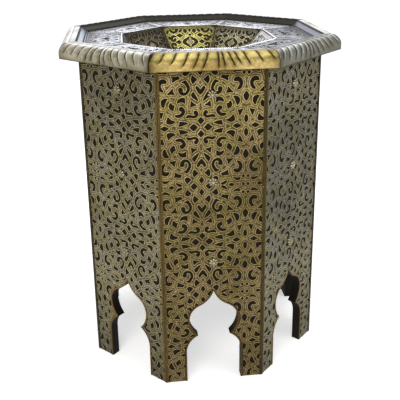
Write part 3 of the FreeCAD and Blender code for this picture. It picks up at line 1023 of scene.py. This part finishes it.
def tube_faces(rings, around, flipped=False, first=0):
    """The faces between neighbouring rings of points, which are numbered ring by ring from first."""
    faces = []
    for i in range(rings - 1):
        a = first + i * around
        b = a + around
        for j in range(around):
            k = (j + 1) % around
            faces.append((a + j, a + k, b + k, b + j) if flipped else (a + j, b + j, b + k, a + k))
    return faces


def end_face(ring, around, flipped=False, first=0):
    """The face that closes one of those rings."""
    points = range(first + ring * around, first + (ring + 1) * around)
    return tuple(reversed(points)) if flipped else tuple(points)


def ring_round(radius, turn, height):
    """A ring of points round the Z axis."""
    return np.column_stack([radius * np.cos(turn), radius * np.sin(turn), height * np.ones_like(turn)])


def domed(rings):
    """A dome closed below, as points and faces. The first ring has no width, so one point stands for it."""
    around = len(rings[0])
    faces = [(0, 1 + j, 1 + (j + 1) % around) for j in range(around)]
    faces += tube_faces(len(rings) - 1, around, first=1)
    faces.append(end_face(len(rings) - 2, around, flipped=True, first=1))
    return np.concatenate([rings[0][:1]] + rings[1:]), faces


def bead():
    """A low round bead as points and faces, closed below, where it sits in the sheet."""
    turn = 2 * math.pi * np.arange(BEAD_AROUND) / BEAD_AROUND
    leans = math.pi / 2 * np.arange(BEAD_RINGS + 1) / BEAD_RINGS
    sizes = [(BEAD_RADIUS * math.sin(lean), BEAD_RADIUS * math.cos(lean)) for lean in leans]
    return domed([ring_round(radius, turn, height) for radius, height in sizes])


def joined(shapes):
    """Several shapes, each as (points, faces), as one."""
    faces = []
    first = 0
    for points, own_faces in shapes:
        faces += [tuple(v + first for v in f) for f in own_faces]
        first += len(points)
    return np.concatenate([points for points, _ in shapes]), faces


def plate_beads(depth, inner_half, outer_half):
    """Places of the beads along the edges of a plate."""
    shrink = BEAD_INSET / math.cos(HALF_ANGLE)
    inner = inner_half - shrink * BEAD_INNER_TURN
    outer = outer_half - shrink * BEAD_OUTER_TURN
    corners = [(-inner, BEAD_INSET), (inner, BEAD_INSET), (outer, depth - BEAD_INSET),
               (-outer, depth - BEAD_INSET)]
    return evened(np.array(corners, float), True, BEAD_PITCH)


def add_plates():
    """The eight white metal plates of the top."""
    depth = PLATE_OUTER - PLATE_INNER
    halves = (PLATE_INNER * TAN_HALF, PLATE_OUTER * TAN_HALF)
    tile = tile_of((halves[1] + 1, depth), PLATE_CUTS, PLATE_SCROLLS)

    def pattern(points):
        return tile.at(np.column_stack([np.abs(points[:, 0]), points[:, 1]]))

    sheet, faces, polish = wedge_sheet(depth, halves, PLATE_MARGIN, PLATE_SEAM, pattern)
    ball, ball_faces = bead()
    level = FLAT_HEIGHT - BEAD_SINK
    beads = [(ball + (x, y, level), ball_faces) for x, y in plate_beads(depth, *halves)]
    polish = np.concatenate([polish, np.full(len(beads) * len(ball), BEAD_RISE)])
    sheet, faces = joined([(sheet, faces)] + beads)
    along, out, height = sheet.T
    points = np.column_stack([-along, -PLATE_INNER - out, RECESS - SHEET + height])
    # Painted shadow of the moulding along the outer edge of each plate
    painted_shade = PLATE_SHADOW * np.clip(1 - (depth - out) / PLATE_SHADOW_REACH, 0, 1)
    values = {"rise": polish, "edge": out < WHITE_EDGE, "painted_shade": painted_shade}
    for face in range(1, SIDES + 1):
        # The copy of white metal that paints in this side's light
        chosen_material = white_metal[PLATE_PAINTED_LIGHT[face - 1]]
        new_piece(f"pierced_plate_{face}", points, faces, chosen_material, "white_metal", [f"top_plate_{face}"],
                  face, values)


def add_dish_linings():
    """The eight sloping linings of the dish."""
    run = HOLE_APOTHEM - DISH_FLOOR_APOTHEM
    drop = RECESS - DISH_FLOOR
    length = math.hypot(run, drop)
    halves = (DISH_FLOOR_APOTHEM * TAN_HALF, HOLE_APOTHEM * TAN_HALF)
    tile = tile_of((halves[1] + 1, 2 * DISH_MIRROR), DISH_CUTS, DISH_SCROLLS)

    def pattern(points):
        down = length - points[:, 1]
        return tile.at(np.column_stack([np.abs(points[:, 0]), DISH_MIRROR - np.abs(DISH_MIRROR - down)]))

    sheet, faces, polish = wedge_sheet(length, halves, DISH_MARGIN, DISH_SEAM, pattern, DISH_TOP_MARGIN)
    up = np.array([-run, drop]) / length
    normal = np.array([drop, run]) / length
    foot = np.array([-DISH_FLOOR_APOTHEM, DISH_FLOOR])
    points = np.column_stack([-sheet[:, 0], foot + sheet[:, 1:2] * up + (sheet[:, 2:] - SHEET) * normal])
    along = sheet[:, 0]
    down = length - sheet[:, 1]
    half = halves[1] - (halves[1] - halves[0]) * down / length
    # Painted shade at the top of each wall and in the corners of the dish
    top_shade = DISH_TOP_SHADE * np.clip(DISH_TOP_END - down / DISH_TOP_FADE, 0, 1)
    flank_share = (np.abs(along) / half - DISH_SIDE_START) / DISH_SIDE_GROWTH
    painted_shade = np.maximum(top_shade, DISH_SIDE_SHADE * np.clip(flank_share, 0, 1))
    turn = np.arctan2(along, down - DISH_MIRROR)
    petals = 1 - ROSETTE_DIP + ROSETTE_DIP * np.abs(np.cos(ROSETTE_PETALS * turn / 2))
    rosette = np.hypot(along, down - DISH_MIRROR) < ROSETTE_RADIUS
    polish = np.where(rosette, polish * petals, polish)
    for face in range(1, SIDES + 1):
        # The copy of brass that paints in this wall's light
        look = DISH_PAINTED_LIGHT[face - 1]
        # The bright copy, a painted reflection, takes no painted shade
        values = {"rise": polish, "painted_shade": painted_shade * (look != "bright"), "rosette": rosette}
        new_piece(f"dish_lining_{face}", points, faces, dish_brass[look], "well_brass",
                  [f"well_panel_{face}"], face, values)


# The moulding

RIM_SPACING = 0.9
ROUND_STEPS = 24
RIM_STEPS = 300
# Where the cuts between gadroons start to both sides of the middle, and how far that strays
GROOVES = (3.0, 13.0, 25.0, 39.0, 55.0, 71.0, 84.0)
GROOVE_JITTER = 1.4
GROOVE_SEED = 70
# Cuts of the front, which fan out from beside its middle: the middle, then those to its left and right
FRONT_MIDDLE = 5.6
FRONT_GROOVES = ((13.0, 25.1, 40.0, 56.1, 72.4, 88.0), (5.2, 13.6, 22.0, 34.3, 52.4, 69.4))
# How far a cut leans out by its foot, how far from the middle it leans fully, and the lean's curve
GROOVE_LEAN = 11.0
LEAN_FULL = 14
LEAN_CURVE = 1.5
# How much of the section a cut runs down: in the middle, less for each millimetre, and its spread
GROOVE_SHARE = 1.02
GROOVE_SHARE_LOSS = 0.0033
GROOVE_SHARE_SPREAD = (-0.05, 0.03)
# The depth and width of a cut, how sharply it falls off, and the soft hollow round it
GROOVE_DEPTH = 1.25
GROOVE_WIDTH = 0.95
GROOVE_SHARPNESS = 1.6
PILLOW_DEPTH = 0.7
PILLOW_WIDTH = 3.6
# Over what run down the section a cut deepens and fades out, and its hollow deepens
GROOVE_ENTRY = 1.5
GROOVE_EXIT = 5.0
PILLOW_ENTRY = 9.0
# How far beside a cut the painted highlight on its flank lies, and how wide
FLANK = 3.2
FLANK_WIDTH = 1.6
# Down the section: where cuts start, the painted highlight of the bright line ends, and the dark line of
# painted shade lies, its width and darkness
FILLET_WIDTH = 8.0
FILLET_EDGE = 7.6
DARK_LINE = 8.6
DARK_LINE_WIDTH = 0.7
DARK_LINE_SHADE = 0.9
# Down the section: where the lobes get a painted highlight and how wide, and where bands of painted shade
# lie and how wide and dark
HIGHLIGHT_BAND = {"gold": (21.5, 2.8), "pale": (14.0, 4.2), "grey": (15.5, 4.0), "white": (11.0, 15.0),
          "rear": (18.0, 3.0)}
SHADE_BANDS = {"gold": ((14.0, 3.0, 0.7), (26.6, 2.2, 0.75)), "pale": ((46.0, 9.0, 0.85),),
           "grey": ((46.0, 8.0, 0.5),), "white": ((46.0, 8.0, 0.7),), "rear": ((44.0, 7.0, 0.6),)}
# How far down the painted highlights on the flanks run, in widths of the highlighted band
STREAK_LENGTH = 3.2
# How much a hollow dulls the polish, how far down into hollows the painted highlight on the lobes reaches,
# and how bright it is
HOLLOW_DULL = 0.5
HOLLOW_REACH = 1.1
LOBE_HIGHLIGHT = 0.75
# How dark the painted shade at the left and right mitres of each side's moulding is, and how far that and
# the painted shade along its foot reach
MITRE_SHADE = ((0.95, 0.6), (0.5, 0.1), (0.1, 0.1), (0.1, 0.1), (0.1, 0.1), (0.1, 0.1), (0.1, 0.1), (0.3, 0.6))
MITRE_SHADE_REACH = 9.0
MITRE_SHADE_CURVE = 1.5
FOOT_SHADE_START = 1.4
FOOT_SHADE_FADE = 1.2
# The polish at a mitre, the run over which it comes up, and the same down the rear's crest, painted dark as
# shade
MITRE_POLISH = 0.1
MITRE_FADE = 1.8
REAR_SHADED_RUN = 11.5
REAR_FADE = 4.0


def rim_section():
    """The shown outline of the moulding as (out, up), from the inner edge of its crest down to its foot."""
    crest_out = RIM - CREST_INSET
    fascia_top = (RIM, RIM_FOOT + FASCIA_HEIGHT)
    crest = divided([(crest_out - CREST_WIDTH, RIM_TOP), (crest_out, RIM_TOP)], RIM_SPACING, closed=False)
    rounded = arc_points(fascia_top, (crest_out, RIM_TOP), ROUND_BULGE, ROUND_STEPS)
    fascia = divided([fascia_top, (RIM, RIM_FOOT)], RIM_SPACING, closed=False)
    section = np.concatenate([crest, rounded[::-1], fascia[1:]])
    section[:, 0] = np.minimum(section[:, 0], RIM)
    return section


def groove_starts(face, random):
    """Where the cuts of a side start on its inner edge, as (along, way of the lean, share of the lean)."""
    if face == 1:
        left, right = FRONT_GROOVES
        starts = [(FRONT_MIDDLE, 1, 0.0)]
        starts += [(FRONT_MIDDLE - s, -1, min(s / LEAN_FULL, 1)) for s in left]
        return starts + [(FRONT_MIDDLE + s, 1, min(s / LEAN_FULL, 1)) for s in right]
    starts = []
    for side in (-1, 1):
        for number, start in enumerate(GROOVES):
            jitter = random.uniform(-GROOVE_JITTER, GROOVE_JITTER)
            starts.append((side * (start + jitter * (number > 0)), side, min(start / LEAN_FULL, 1)))
    return starts


def groove_press(along, run, whole, face):
    """How deep cuts and hollows press in, along a side and down its section, and how near a flank is."""
    random = np.random.default_rng(GROOVE_SEED + face)
    cuts = np.zeros(np.broadcast(along, run).shape)
    pillow = np.zeros_like(cuts)
    flank = np.zeros_like(cuts)
    for start, side, lean in groove_starts(face, random):
        spread = random.uniform(*GROOVE_SHARE_SPREAD)
        reach = whole * (GROOVE_SHARE - GROOVE_SHARE_LOSS * abs(start) + spread)
        down = run - FILLET_WIDTH
        share = np.clip(down / (reach - FILLET_WIDTH), 0, 1)
        off = along - (start + side * GROOVE_LEAN * lean * share**LEAN_CURVE)
        fade = np.clip(down / GROOVE_ENTRY, 0, 1) * np.clip((reach - run) / GROOVE_EXIT, 0, 1)
        soft = np.clip(down / PILLOW_ENTRY, 0, 1) * fade
        cuts = np.maximum(cuts, fade * GROOVE_DEPTH * bell(off, GROOVE_WIDTH, GROOVE_SHARPNESS))
        pillow = np.maximum(pillow, soft * PILLOW_DEPTH * bell(off, PILLOW_WIDTH))
        # The flank beside each cut, where a painted highlight goes
        flank = np.maximum(flank, bell(off - FLANK, FLANK_WIDTH))
    return cuts, pillow, flank


def moulding_polish_and_light(face, share, section, run, press):
    """Polish, painted highlights on the lobes and the bright line, and painted shade in bands, at the
    mitres and along the foot, on the front of a length of the moulding.
    """
    cuts, pillow, flank = press
    look = RIM_PAINTED_LIGHT[face - 1]
    end = (1 - np.abs(share[:, None])) * section[None, :, 0] * TAN_HALF
    rise = (1 - cuts / GROOVE_DEPTH) * (1 - HOLLOW_DULL * pillow / PILLOW_DEPTH)
    rise = rise * np.clip(MITRE_POLISH + end / MITRE_FADE, 0, 1)
    # The rear's crest is painted dark as shade
    if look == "rear":
        rise = rise * np.clip((run - REAR_SHADED_RUN) / REAR_FADE, 0, 1)
    # Painted highlights on the lobes, and on the flanks beside the cuts
    place, width = HIGHLIGHT_BAND[look]
    over = bell(run - place, width) * np.clip(HOLLOW_REACH - pillow / PILLOW_DEPTH, 0, 1)
    if look != "gold":
        streak = bell(np.maximum(run - place, 0), STREAK_LENGTH * width) * (run > FILLET_EDGE)
        over = np.maximum(over if look == "white" else LOBE_HIGHLIGHT * over, flank * streak)
    # Bands of painted shade down the section
    shade_bands = np.max([depth * bell(run - at, wide) for at, wide, depth in SHADE_BANDS[look]], axis=0)
    # Painted shade at the mitres, along the foot and in the dark line
    left, right = MITRE_SHADE[face - 1]
    ends = np.where(share[:, None] < 0, left, right) * bell(end, MITRE_SHADE_REACH, MITRE_SHADE_CURVE)
    foot = np.clip((run - run[-1] + FOOT_SHADE_START) / FOOT_SHADE_FADE, 0, 1)
    line = DARK_LINE_SHADE * bell(run - DARK_LINE, DARK_LINE_WIDTH)
    painted_shade = np.maximum(np.maximum(foot, ends), line)
    return {"rise": rise, "wear_and_highlight": over, "painted_shade": painted_shade, "fillet": run < FILLET_EDGE, "shade_bands": shade_bands}


def add_moulding():
    """The eight lengths of the gadrooned moulding."""
    section = rim_section()
    run = np.concatenate([[0], np.cumsum(np.hypot(*np.diff(section, axis=0).T))])
    tangent = np.gradient(section, axis=0)
    outward = np.column_stack([-tangent[:, 1], tangent[:, 0]])
    outward /= np.hypot(*outward.T)[:, None]
    back = np.array([(BOARD, RIM_FOOT), (BOARD, RECESS - SHEET), (PLATE_OUTER, RECESS - SHEET)])
    out, up = back.T
    share = np.linspace(-1, 1, RIM_STEPS + 1)
    hidden = np.stack([np.column_stack([t * out * TAN_HALF, -out, up]) for t in share])
    along = share[:, None] * section[None, :, 0] * TAN_HALF
    count = len(section) + len(back)
    faces = tube_faces(len(share), count, flipped=True)
    faces += [end_face(0, count, flipped=True), end_face(RIM_STEPS, count)]
    for face in range(1, SIDES + 1):
        press = groove_press(along, run[None, :], run[-1], face)
        pressed = section[None] - (press[0] + press[1])[..., None] * outward[None]
        front = np.concatenate([along[..., None], -pressed[..., :1], pressed[..., 1:]], axis=-1)
        rings = np.concatenate([front, hidden], axis=1)
        marks = moulding_polish_and_light(face, share, section, run, press)
        spare = np.zeros((len(share), len(back)))
        values = {
            key: np.concatenate([np.broadcast_to(v, along.shape), spare], axis=1).ravel()
            for key, v in marks.items()
        }
        # The copy whose colours paint in this side's light
        chosen_material = rim_brass[RIM_PAINTED_LIGHT[face - 1]]
        new_piece(f"gadrooned_rim_{face}", rings.reshape(-1, 3), faces, chosen_material, "rim_brass",
                  [f"rim_moulding_{face}"], face, values)


# The stepped lining inside the moulding: in from the crest, down from the top, its polish, and at the rear;
# the polish is 0 in its top drop and its foot groove, where shade is painted dark
LINING = [
    (0.0, 0.0, 0.5, 0.0), (0.4, 0.0, 0.0, 0.0), (0.9, 0.6, 0.0, 0.0), (2.2, 1.5, 0.0, 0.0),
    (3.0, 1.9, 0.0, 0.1), (3.4, 2.3, 0.5, 0.7), (4.6, 3.5, 0.9, 1.0), (6.6, 5.5, 1.1, 1.0),
    (8.0, 6.8, 1.2, 0.5), (8.8, 7.5, 1.1, 0.1), (9.3, 7.9, 0.0, 0.0), (9.9, 7.9, 0.0, 0.0),
    (10.7, 8.2, 0.0, 0.0), (11.1, 9.0, 0.05, 0.1), (11.6, 8.8, 0.7, 0.5), (12.3, 8.9, 0.8, 0.6),
    (12.8, 9.4, 0.6, 0.4), (12.8, 10.0, 0.3, 0.2), (12.8, 11.0, 0.2, 0.1),
]


def add_linings():
    """The stepped white metal linings on the inner slope of the moulding."""
    crest = RIM - CREST_INSET - CREST_WIDTH
    inward, down, polish, rear_polish_and_shade = np.array(LINING).T
    out = crest - inward
    half = out * TAN_HALF
    points = np.concatenate([np.column_stack([side * half, -out, RIM_TOP - down]) for side in (-1, 1)])
    count = len(LINING)
    faces = [end_face(0, count), end_face(1, count, flipped=True)] + tube_faces(2, count)
    for face in range(1, SIDES + 1):
        # The copy of the lining that paints in this side's light
        look = LINING_PAINTED_LIGHT[face - 1]
        values = {"rise": np.tile(rear_polish_and_shade if look == "dark" else polish, 2)}
        new_piece(f"rim_lining_{face}", points, faces, lining_metal[look], "lining_metal", ["rim_linings"],
                  face, values)


# Section of a leg of a corner strip: along from its edge to the corner, and height over the side
STRIP_SECTION = [
    (0.0, 0.0), (0.05, 0.35), (0.5, 0.72), (1.0, 0.74), (1.45, 0.4), (1.75, 0.14), (2.05, 0.4), (2.5, 0.76),
    (3.0, 0.76), (3.4, 0.42), (3.6, 0.24), (3.8, 0.4),
]
# Levels of points up a strip
STRIP_LEVELS = 60


def add_strips():
    """The ridged strips over the corners."""
    tip = (BODY + STRIP_THICKNESS) * TAN_HALF
    leg = [(tip - STRIP_LEG + along, BODY + height) for along, height in STRIP_SECTION]
    turn = Matrix.Rotation(2 * HALF_ANGLE, 3, "Z")
    first = [Vector((x, -out, 0)) for x, out in leg + [(tip, BODY + STRIP_THICKNESS)]]
    second = [turn @ Vector((-x, -out, 0)) for x, out in reversed(leg)]
    inner = [Vector((BODY * TAN_HALF, -BODY, 0))]
    ring = np.array([tuple(p) for p in first + second + inner])
    points = np.concatenate([ring + (0, 0, z) for z in np.linspace(PANEL_FOOT, PANEL_TOP, STRIP_LEVELS)])
    count = len(ring)
    faces = [end_face(0, count, flipped=True), end_face(STRIP_LEVELS - 1, count)]
    faces += tube_faces(STRIP_LEVELS, count, flipped=True)
    heights = [h for _, h in STRIP_SECTION]
    rise = np.array(heights + [STRIP_THICKNESS] + heights[::-1] + [0.0]) / STRIP_THICKNESS
    for face in range(1, SIDES + 1):
        # The copy of brass that paints in this corner's light
        chosen_material = strip_brass[STRIP_PAINTED_LIGHT[face - 1]]
        new_piece(f"ridged_strip_{face}", points, faces, chosen_material, "strip_brass", [f"corner_strip_{face}"],
                  face, {"rise": np.tile(rise, STRIP_LEVELS)}, ROUNDED_SHARP)


# The petals of a boss: how many, how far they scallop its rim as a share, and how deep they are cut
PETALS = 8
PETAL_SCALLOP = 0.1
PETAL_CUT = 1.15
BOSS_RINGS = 14
BOSS_AROUND = 64
BUTTON_RADIUS = 2.1
# The cuts between petals reach their depth over this run past the button
CUT_ENTRY = 1.2
# The groove round the button: how far outside it, and its half width, which is its depth too
BUTTON_GROOVE_OUT = 0.25
BUTTON_GROOVE = 0.45
# Powers that shape the scallops, the cuts, the dome, and how late the cuts end at the rim
SCALLOP_POWER = 0.6
CUT_POWER = 0.55
DOME_POWER = 1.2
CUT_END_POWER = 6
# The least height of a boss, as a share of its edge
LEAST_EDGE = 0.8


def boss_shape():
    """A petalled boss along +Z with its seat at the origin, with how proud each point stands."""
    rings = []
    rise = []
    turn = 2 * math.pi * np.arange(BOSS_AROUND) / BOSS_AROUND
    lobe = np.abs(np.cos(PETALS * turn / 2))
    rim = BOSS_RADIUS * (1 - PETAL_SCALLOP + PETAL_SCALLOP * lobe**SCALLOP_POWER)
    for out in np.arange(BOSS_RINGS) / (BOSS_RINGS - 1):
        radius = rim * out
        dome = BOSS_EDGE + (BOSS_RISE - BOSS_EDGE) * math.sqrt(max(1 - out**2, 0)) ** DOME_POWER
        cut = (1 - lobe**CUT_POWER) * np.clip((radius - BUTTON_RADIUS) / CUT_ENTRY, 0, 1) * PETAL_CUT
        groove = BUTTON_GROOVE * bell(radius - BUTTON_RADIUS - BUTTON_GROOVE_OUT, BUTTON_GROOVE)
        height = np.maximum(dome - cut * (1 - out**CUT_END_POWER) - groove, BOSS_EDGE * LEAST_EDGE)
        rings.append(ring_round(radius, turn, height))
        rise.append(1 - np.clip(cut + groove, 0, 1))
    rings.append(ring_round(rim, turn, 0.0))
    rise.append(np.zeros(BOSS_AROUND))
    points, faces = domed(rings)
    return points, faces, np.concatenate(rise)[BOSS_AROUND - 1:]


def add_bosses():
    """The petalled bosses on the middle line of every side."""
    shape, faces, rise = boss_shape()
    seated = np.column_stack([shape[:, 0], -BODY - shape[:, 2], shape[:, 1]])
    bosses = []
    for face in range(SIDES):
        turn = np.array(Matrix.Rotation(2 * HALF_ANGLE * face, 3, "Z"))
        bosses += [((seated + (0, 0, height)) @ turn.T, faces) for height in BOSS_HEIGHTS]
    new_piece("petalled_bosses", *joined(bosses), boss_metal, "boss_metal", ["side_bosses"],
              values={"rise": np.tile(rise, len(bosses))}, sharp=ROUNDED_SHARP)


# The floor of the dish: its mesh, the height and number of its rings of relief, its petals, how deep and
# between which shares of the way out they lie, and how soon the relief ends at the border
FLOOR_RINGS = 90
FLOOR_AROUND = 192
FLOOR_RELIEF = 0.35
FLOOR_WAVES = 7
FLOOR_PETALS = 16
FLOOR_PETAL_DIP = 0.6
FLOOR_PETAL_SHARES = (0.28, 0.86)
FLOOR_EDGE_RATE = 30


def add_dish_floor():
    """The chased sheet on the floor of the dish, with a rosette in rings."""
    turn = 2 * math.pi * (np.arange(FLOOR_AROUND) + 0.5) / FLOOR_AROUND
    to_flat = np.abs(np.mod(turn + math.pi / 2 + HALF_ANGLE, 2 * HALF_ANGLE) - HALF_ANGLE)
    border = DISH_FLOOR_APOTHEM / np.cos(to_flat)
    petal = np.abs(np.cos(FLOOR_PETALS * turn / 2)) * FLOOR_PETAL_DIP + (1 - FLOOR_PETAL_DIP)
    first, last = FLOOR_PETAL_SHARES
    rings = []
    rise = []
    for out in np.arange(FLOOR_RINGS) / (FLOOR_RINGS - 1):
        wave = 0.5 + 0.5 * math.cos(2 * math.pi * out * FLOOR_WAVES)
        edge = min((1 - out) * FLOOR_EDGE_RATE, 1)
        height = FLOOR_RELIEF * wave * (petal if first < out < last else np.ones(FLOOR_AROUND)) * edge
        rings.append(ring_round(border * out, turn, floor_high.z - FLOOR_RELIEF + height))
        rise.append(height / FLOOR_RELIEF)
    rings.append(ring_round(border, turn, floor_low.z))
    rise.append(np.zeros(FLOOR_AROUND))
    new_piece("rosette_floor", *domed(rings), dish_brass["olive"], "well_brass", ["well_floor_sheet"],
              values={"rise": np.concatenate(rise)[FLOOR_AROUND - 1:]})


def dress_wood():
    """Wood on the boards and blocks that the frame holds, and brass on its tacks."""
    finishes = {
        "side_board": black_wood, "well_boards": dish_wood, "top_frame_boards": backing_wood,
        "strip_tacks": tack_brass, "plate_tacks": tack_brass,
    }
    for name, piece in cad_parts.items():
        if piece.hide_render:
            continue
        chosen_material = next((f for start, f in finishes.items() if name.startswith(start)), inner_wood)
        for place in piece.material_slots:
            place.material = chosen_material


# Floor, lights and camera

# Half the width of the studio's floor in metres, how much it glows, and how much light the surround gives
STUDIO_HALF = 6
STUDIO_GLOW = 0.55
WORLD_LIGHT = 0.5
WHITE = (1.0, 1.0, 1.0, 1.0)
PALE = (0.92, 0.92, 0.91, 1.0)
# The lights: name, place, what they look at, size, power and tint
LIGHTS = (
    ("key_light", (-0.9, -1.9, 1.7), (0, 0, 0.3), 1.3, 26.0, (1.0, 0.97, 0.92)),
    ("fill_light", (1.8, -1.2, 1.0), (0, 0, 0.3), 1.5, 12.0, (0.92, 0.96, 1.0)),
    ("top_light", (0.2, 0.8, 2.2), (0, 0, 0.4), 1.6, 18.0, (1.0, 1.0, 1.0)),
)
# The camera's place in metres, its angles in degrees, and its lens by the photograph's pixels
CAMERA_PLACE = (-0.1236, -1.1000, 0.7066)
CAMERA_AZIMUTH = -6.585
CAMERA_ELEVATION = 18.442
CAMERA_ROLL = -0.785
FOCAL_PIXELS = 665.2
IMAGE_PIXELS = 400.0
SENSOR = 36.0
SHIFT_PIXELS = -52.0


def seen_rays(tree):
    """1 for the rays that show a surface to the camera, straight or by reflection, else 0."""
    rays = node(tree, "LightPath")
    seen = maths(tree, "MAXIMUM", rays.outputs["Is Camera Ray"], rays.outputs["Is Glossy Ray"])
    return maths(tree, "MAXIMUM", seen, rays.outputs["Is Transmission Ray"])


def add_floor():
    """A pale floor that shows about white, with the soft shadow of the stand."""
    half = STUDIO_HALF
    corners = [(-half, -half, 0), (half, -half, 0), (half, half, 0), (-half, half, 0)]
    mesh = bpy.data.meshes.new("studio_floor")
    mesh.from_pydata(corners, [], [(0, 1, 2, 3)])
    floor = bpy.data.objects.new("studio_floor", mesh)
    bpy.context.scene.collection.objects.link(floor)
    material, tree, shader = blank("studio_floor")
    wire(tree, shader, {
        "Roughness": 0.9,
        "Base Color": PALE,
        "Emission Color": WHITE,
        "Emission Strength": maths(tree, "MULTIPLY", seen_rays(tree), STUDIO_GLOW),
    })
    mesh.materials.append(material)


def add_area(name, place, aim, size, power, tint):
    """A square soft light aimed at a point."""
    light = bpy.data.lights.new(name, "AREA")
    light.size = size
    light.energy = power
    light.color = tint
    lamp = bpy.data.objects.new(name, light)
    lamp.location = place
    lamp.rotation_euler = (Vector(aim) - Vector(place)).to_track_quat("-Z", "Y").to_euler()
    bpy.context.scene.collection.objects.link(lamp)


def add_world():
    """A white surround for the camera and for reflections, and a softer one for the light it gives."""
    world = bpy.data.worlds.new("studio")
    bpy.context.scene.world = world
    world.use_nodes = True
    tree = world.node_tree
    strength = between(tree, seen_rays(tree), 0.0, 1.0, WORLD_LIGHT, 1.0)
    wire(tree, tree.nodes["Background"], {"Color": WHITE, "Strength": strength})


def add_camera():
    """The camera at the viewing angle of the photograph."""
    data = bpy.data.cameras.new("camera")
    data.sensor_width = SENSOR
    data.lens = FOCAL_PIXELS / IMAGE_PIXELS * SENSOR
    data.shift_y = SHIFT_PIXELS / IMAGE_PIXELS
    camera = bpy.data.objects.new("camera", data)
    azimuth = math.radians(CAMERA_AZIMUTH)
    elevation = math.radians(CAMERA_ELEVATION)
    back = Vector((
        math.sin(azimuth) * math.cos(elevation),
        -math.cos(azimuth) * math.cos(elevation),
        math.sin(elevation),
    ))
    camera.rotation_mode = "QUATERNION"
    roll = Matrix.Rotation(math.radians(CAMERA_ROLL), 3, back)
    camera.rotation_quaternion = (roll @ (-back).to_track_quat("-Z", "Y").to_matrix()).to_quaternion()
    camera.location = CAMERA_PLACE
    bpy.context.scene.collection.objects.link(camera)
    bpy.context.scene.camera = camera


for build in (add_sides, add_plates, add_dish_linings, add_moulding, add_linings, add_strips, add_bosses,
              add_dish_floor, dress_wood, add_floor, add_world, add_camera):
    build()
for light in LIGHTS:
    add_area(*light)

bpy.context.scene.view_settings.view_transform = "Standard"
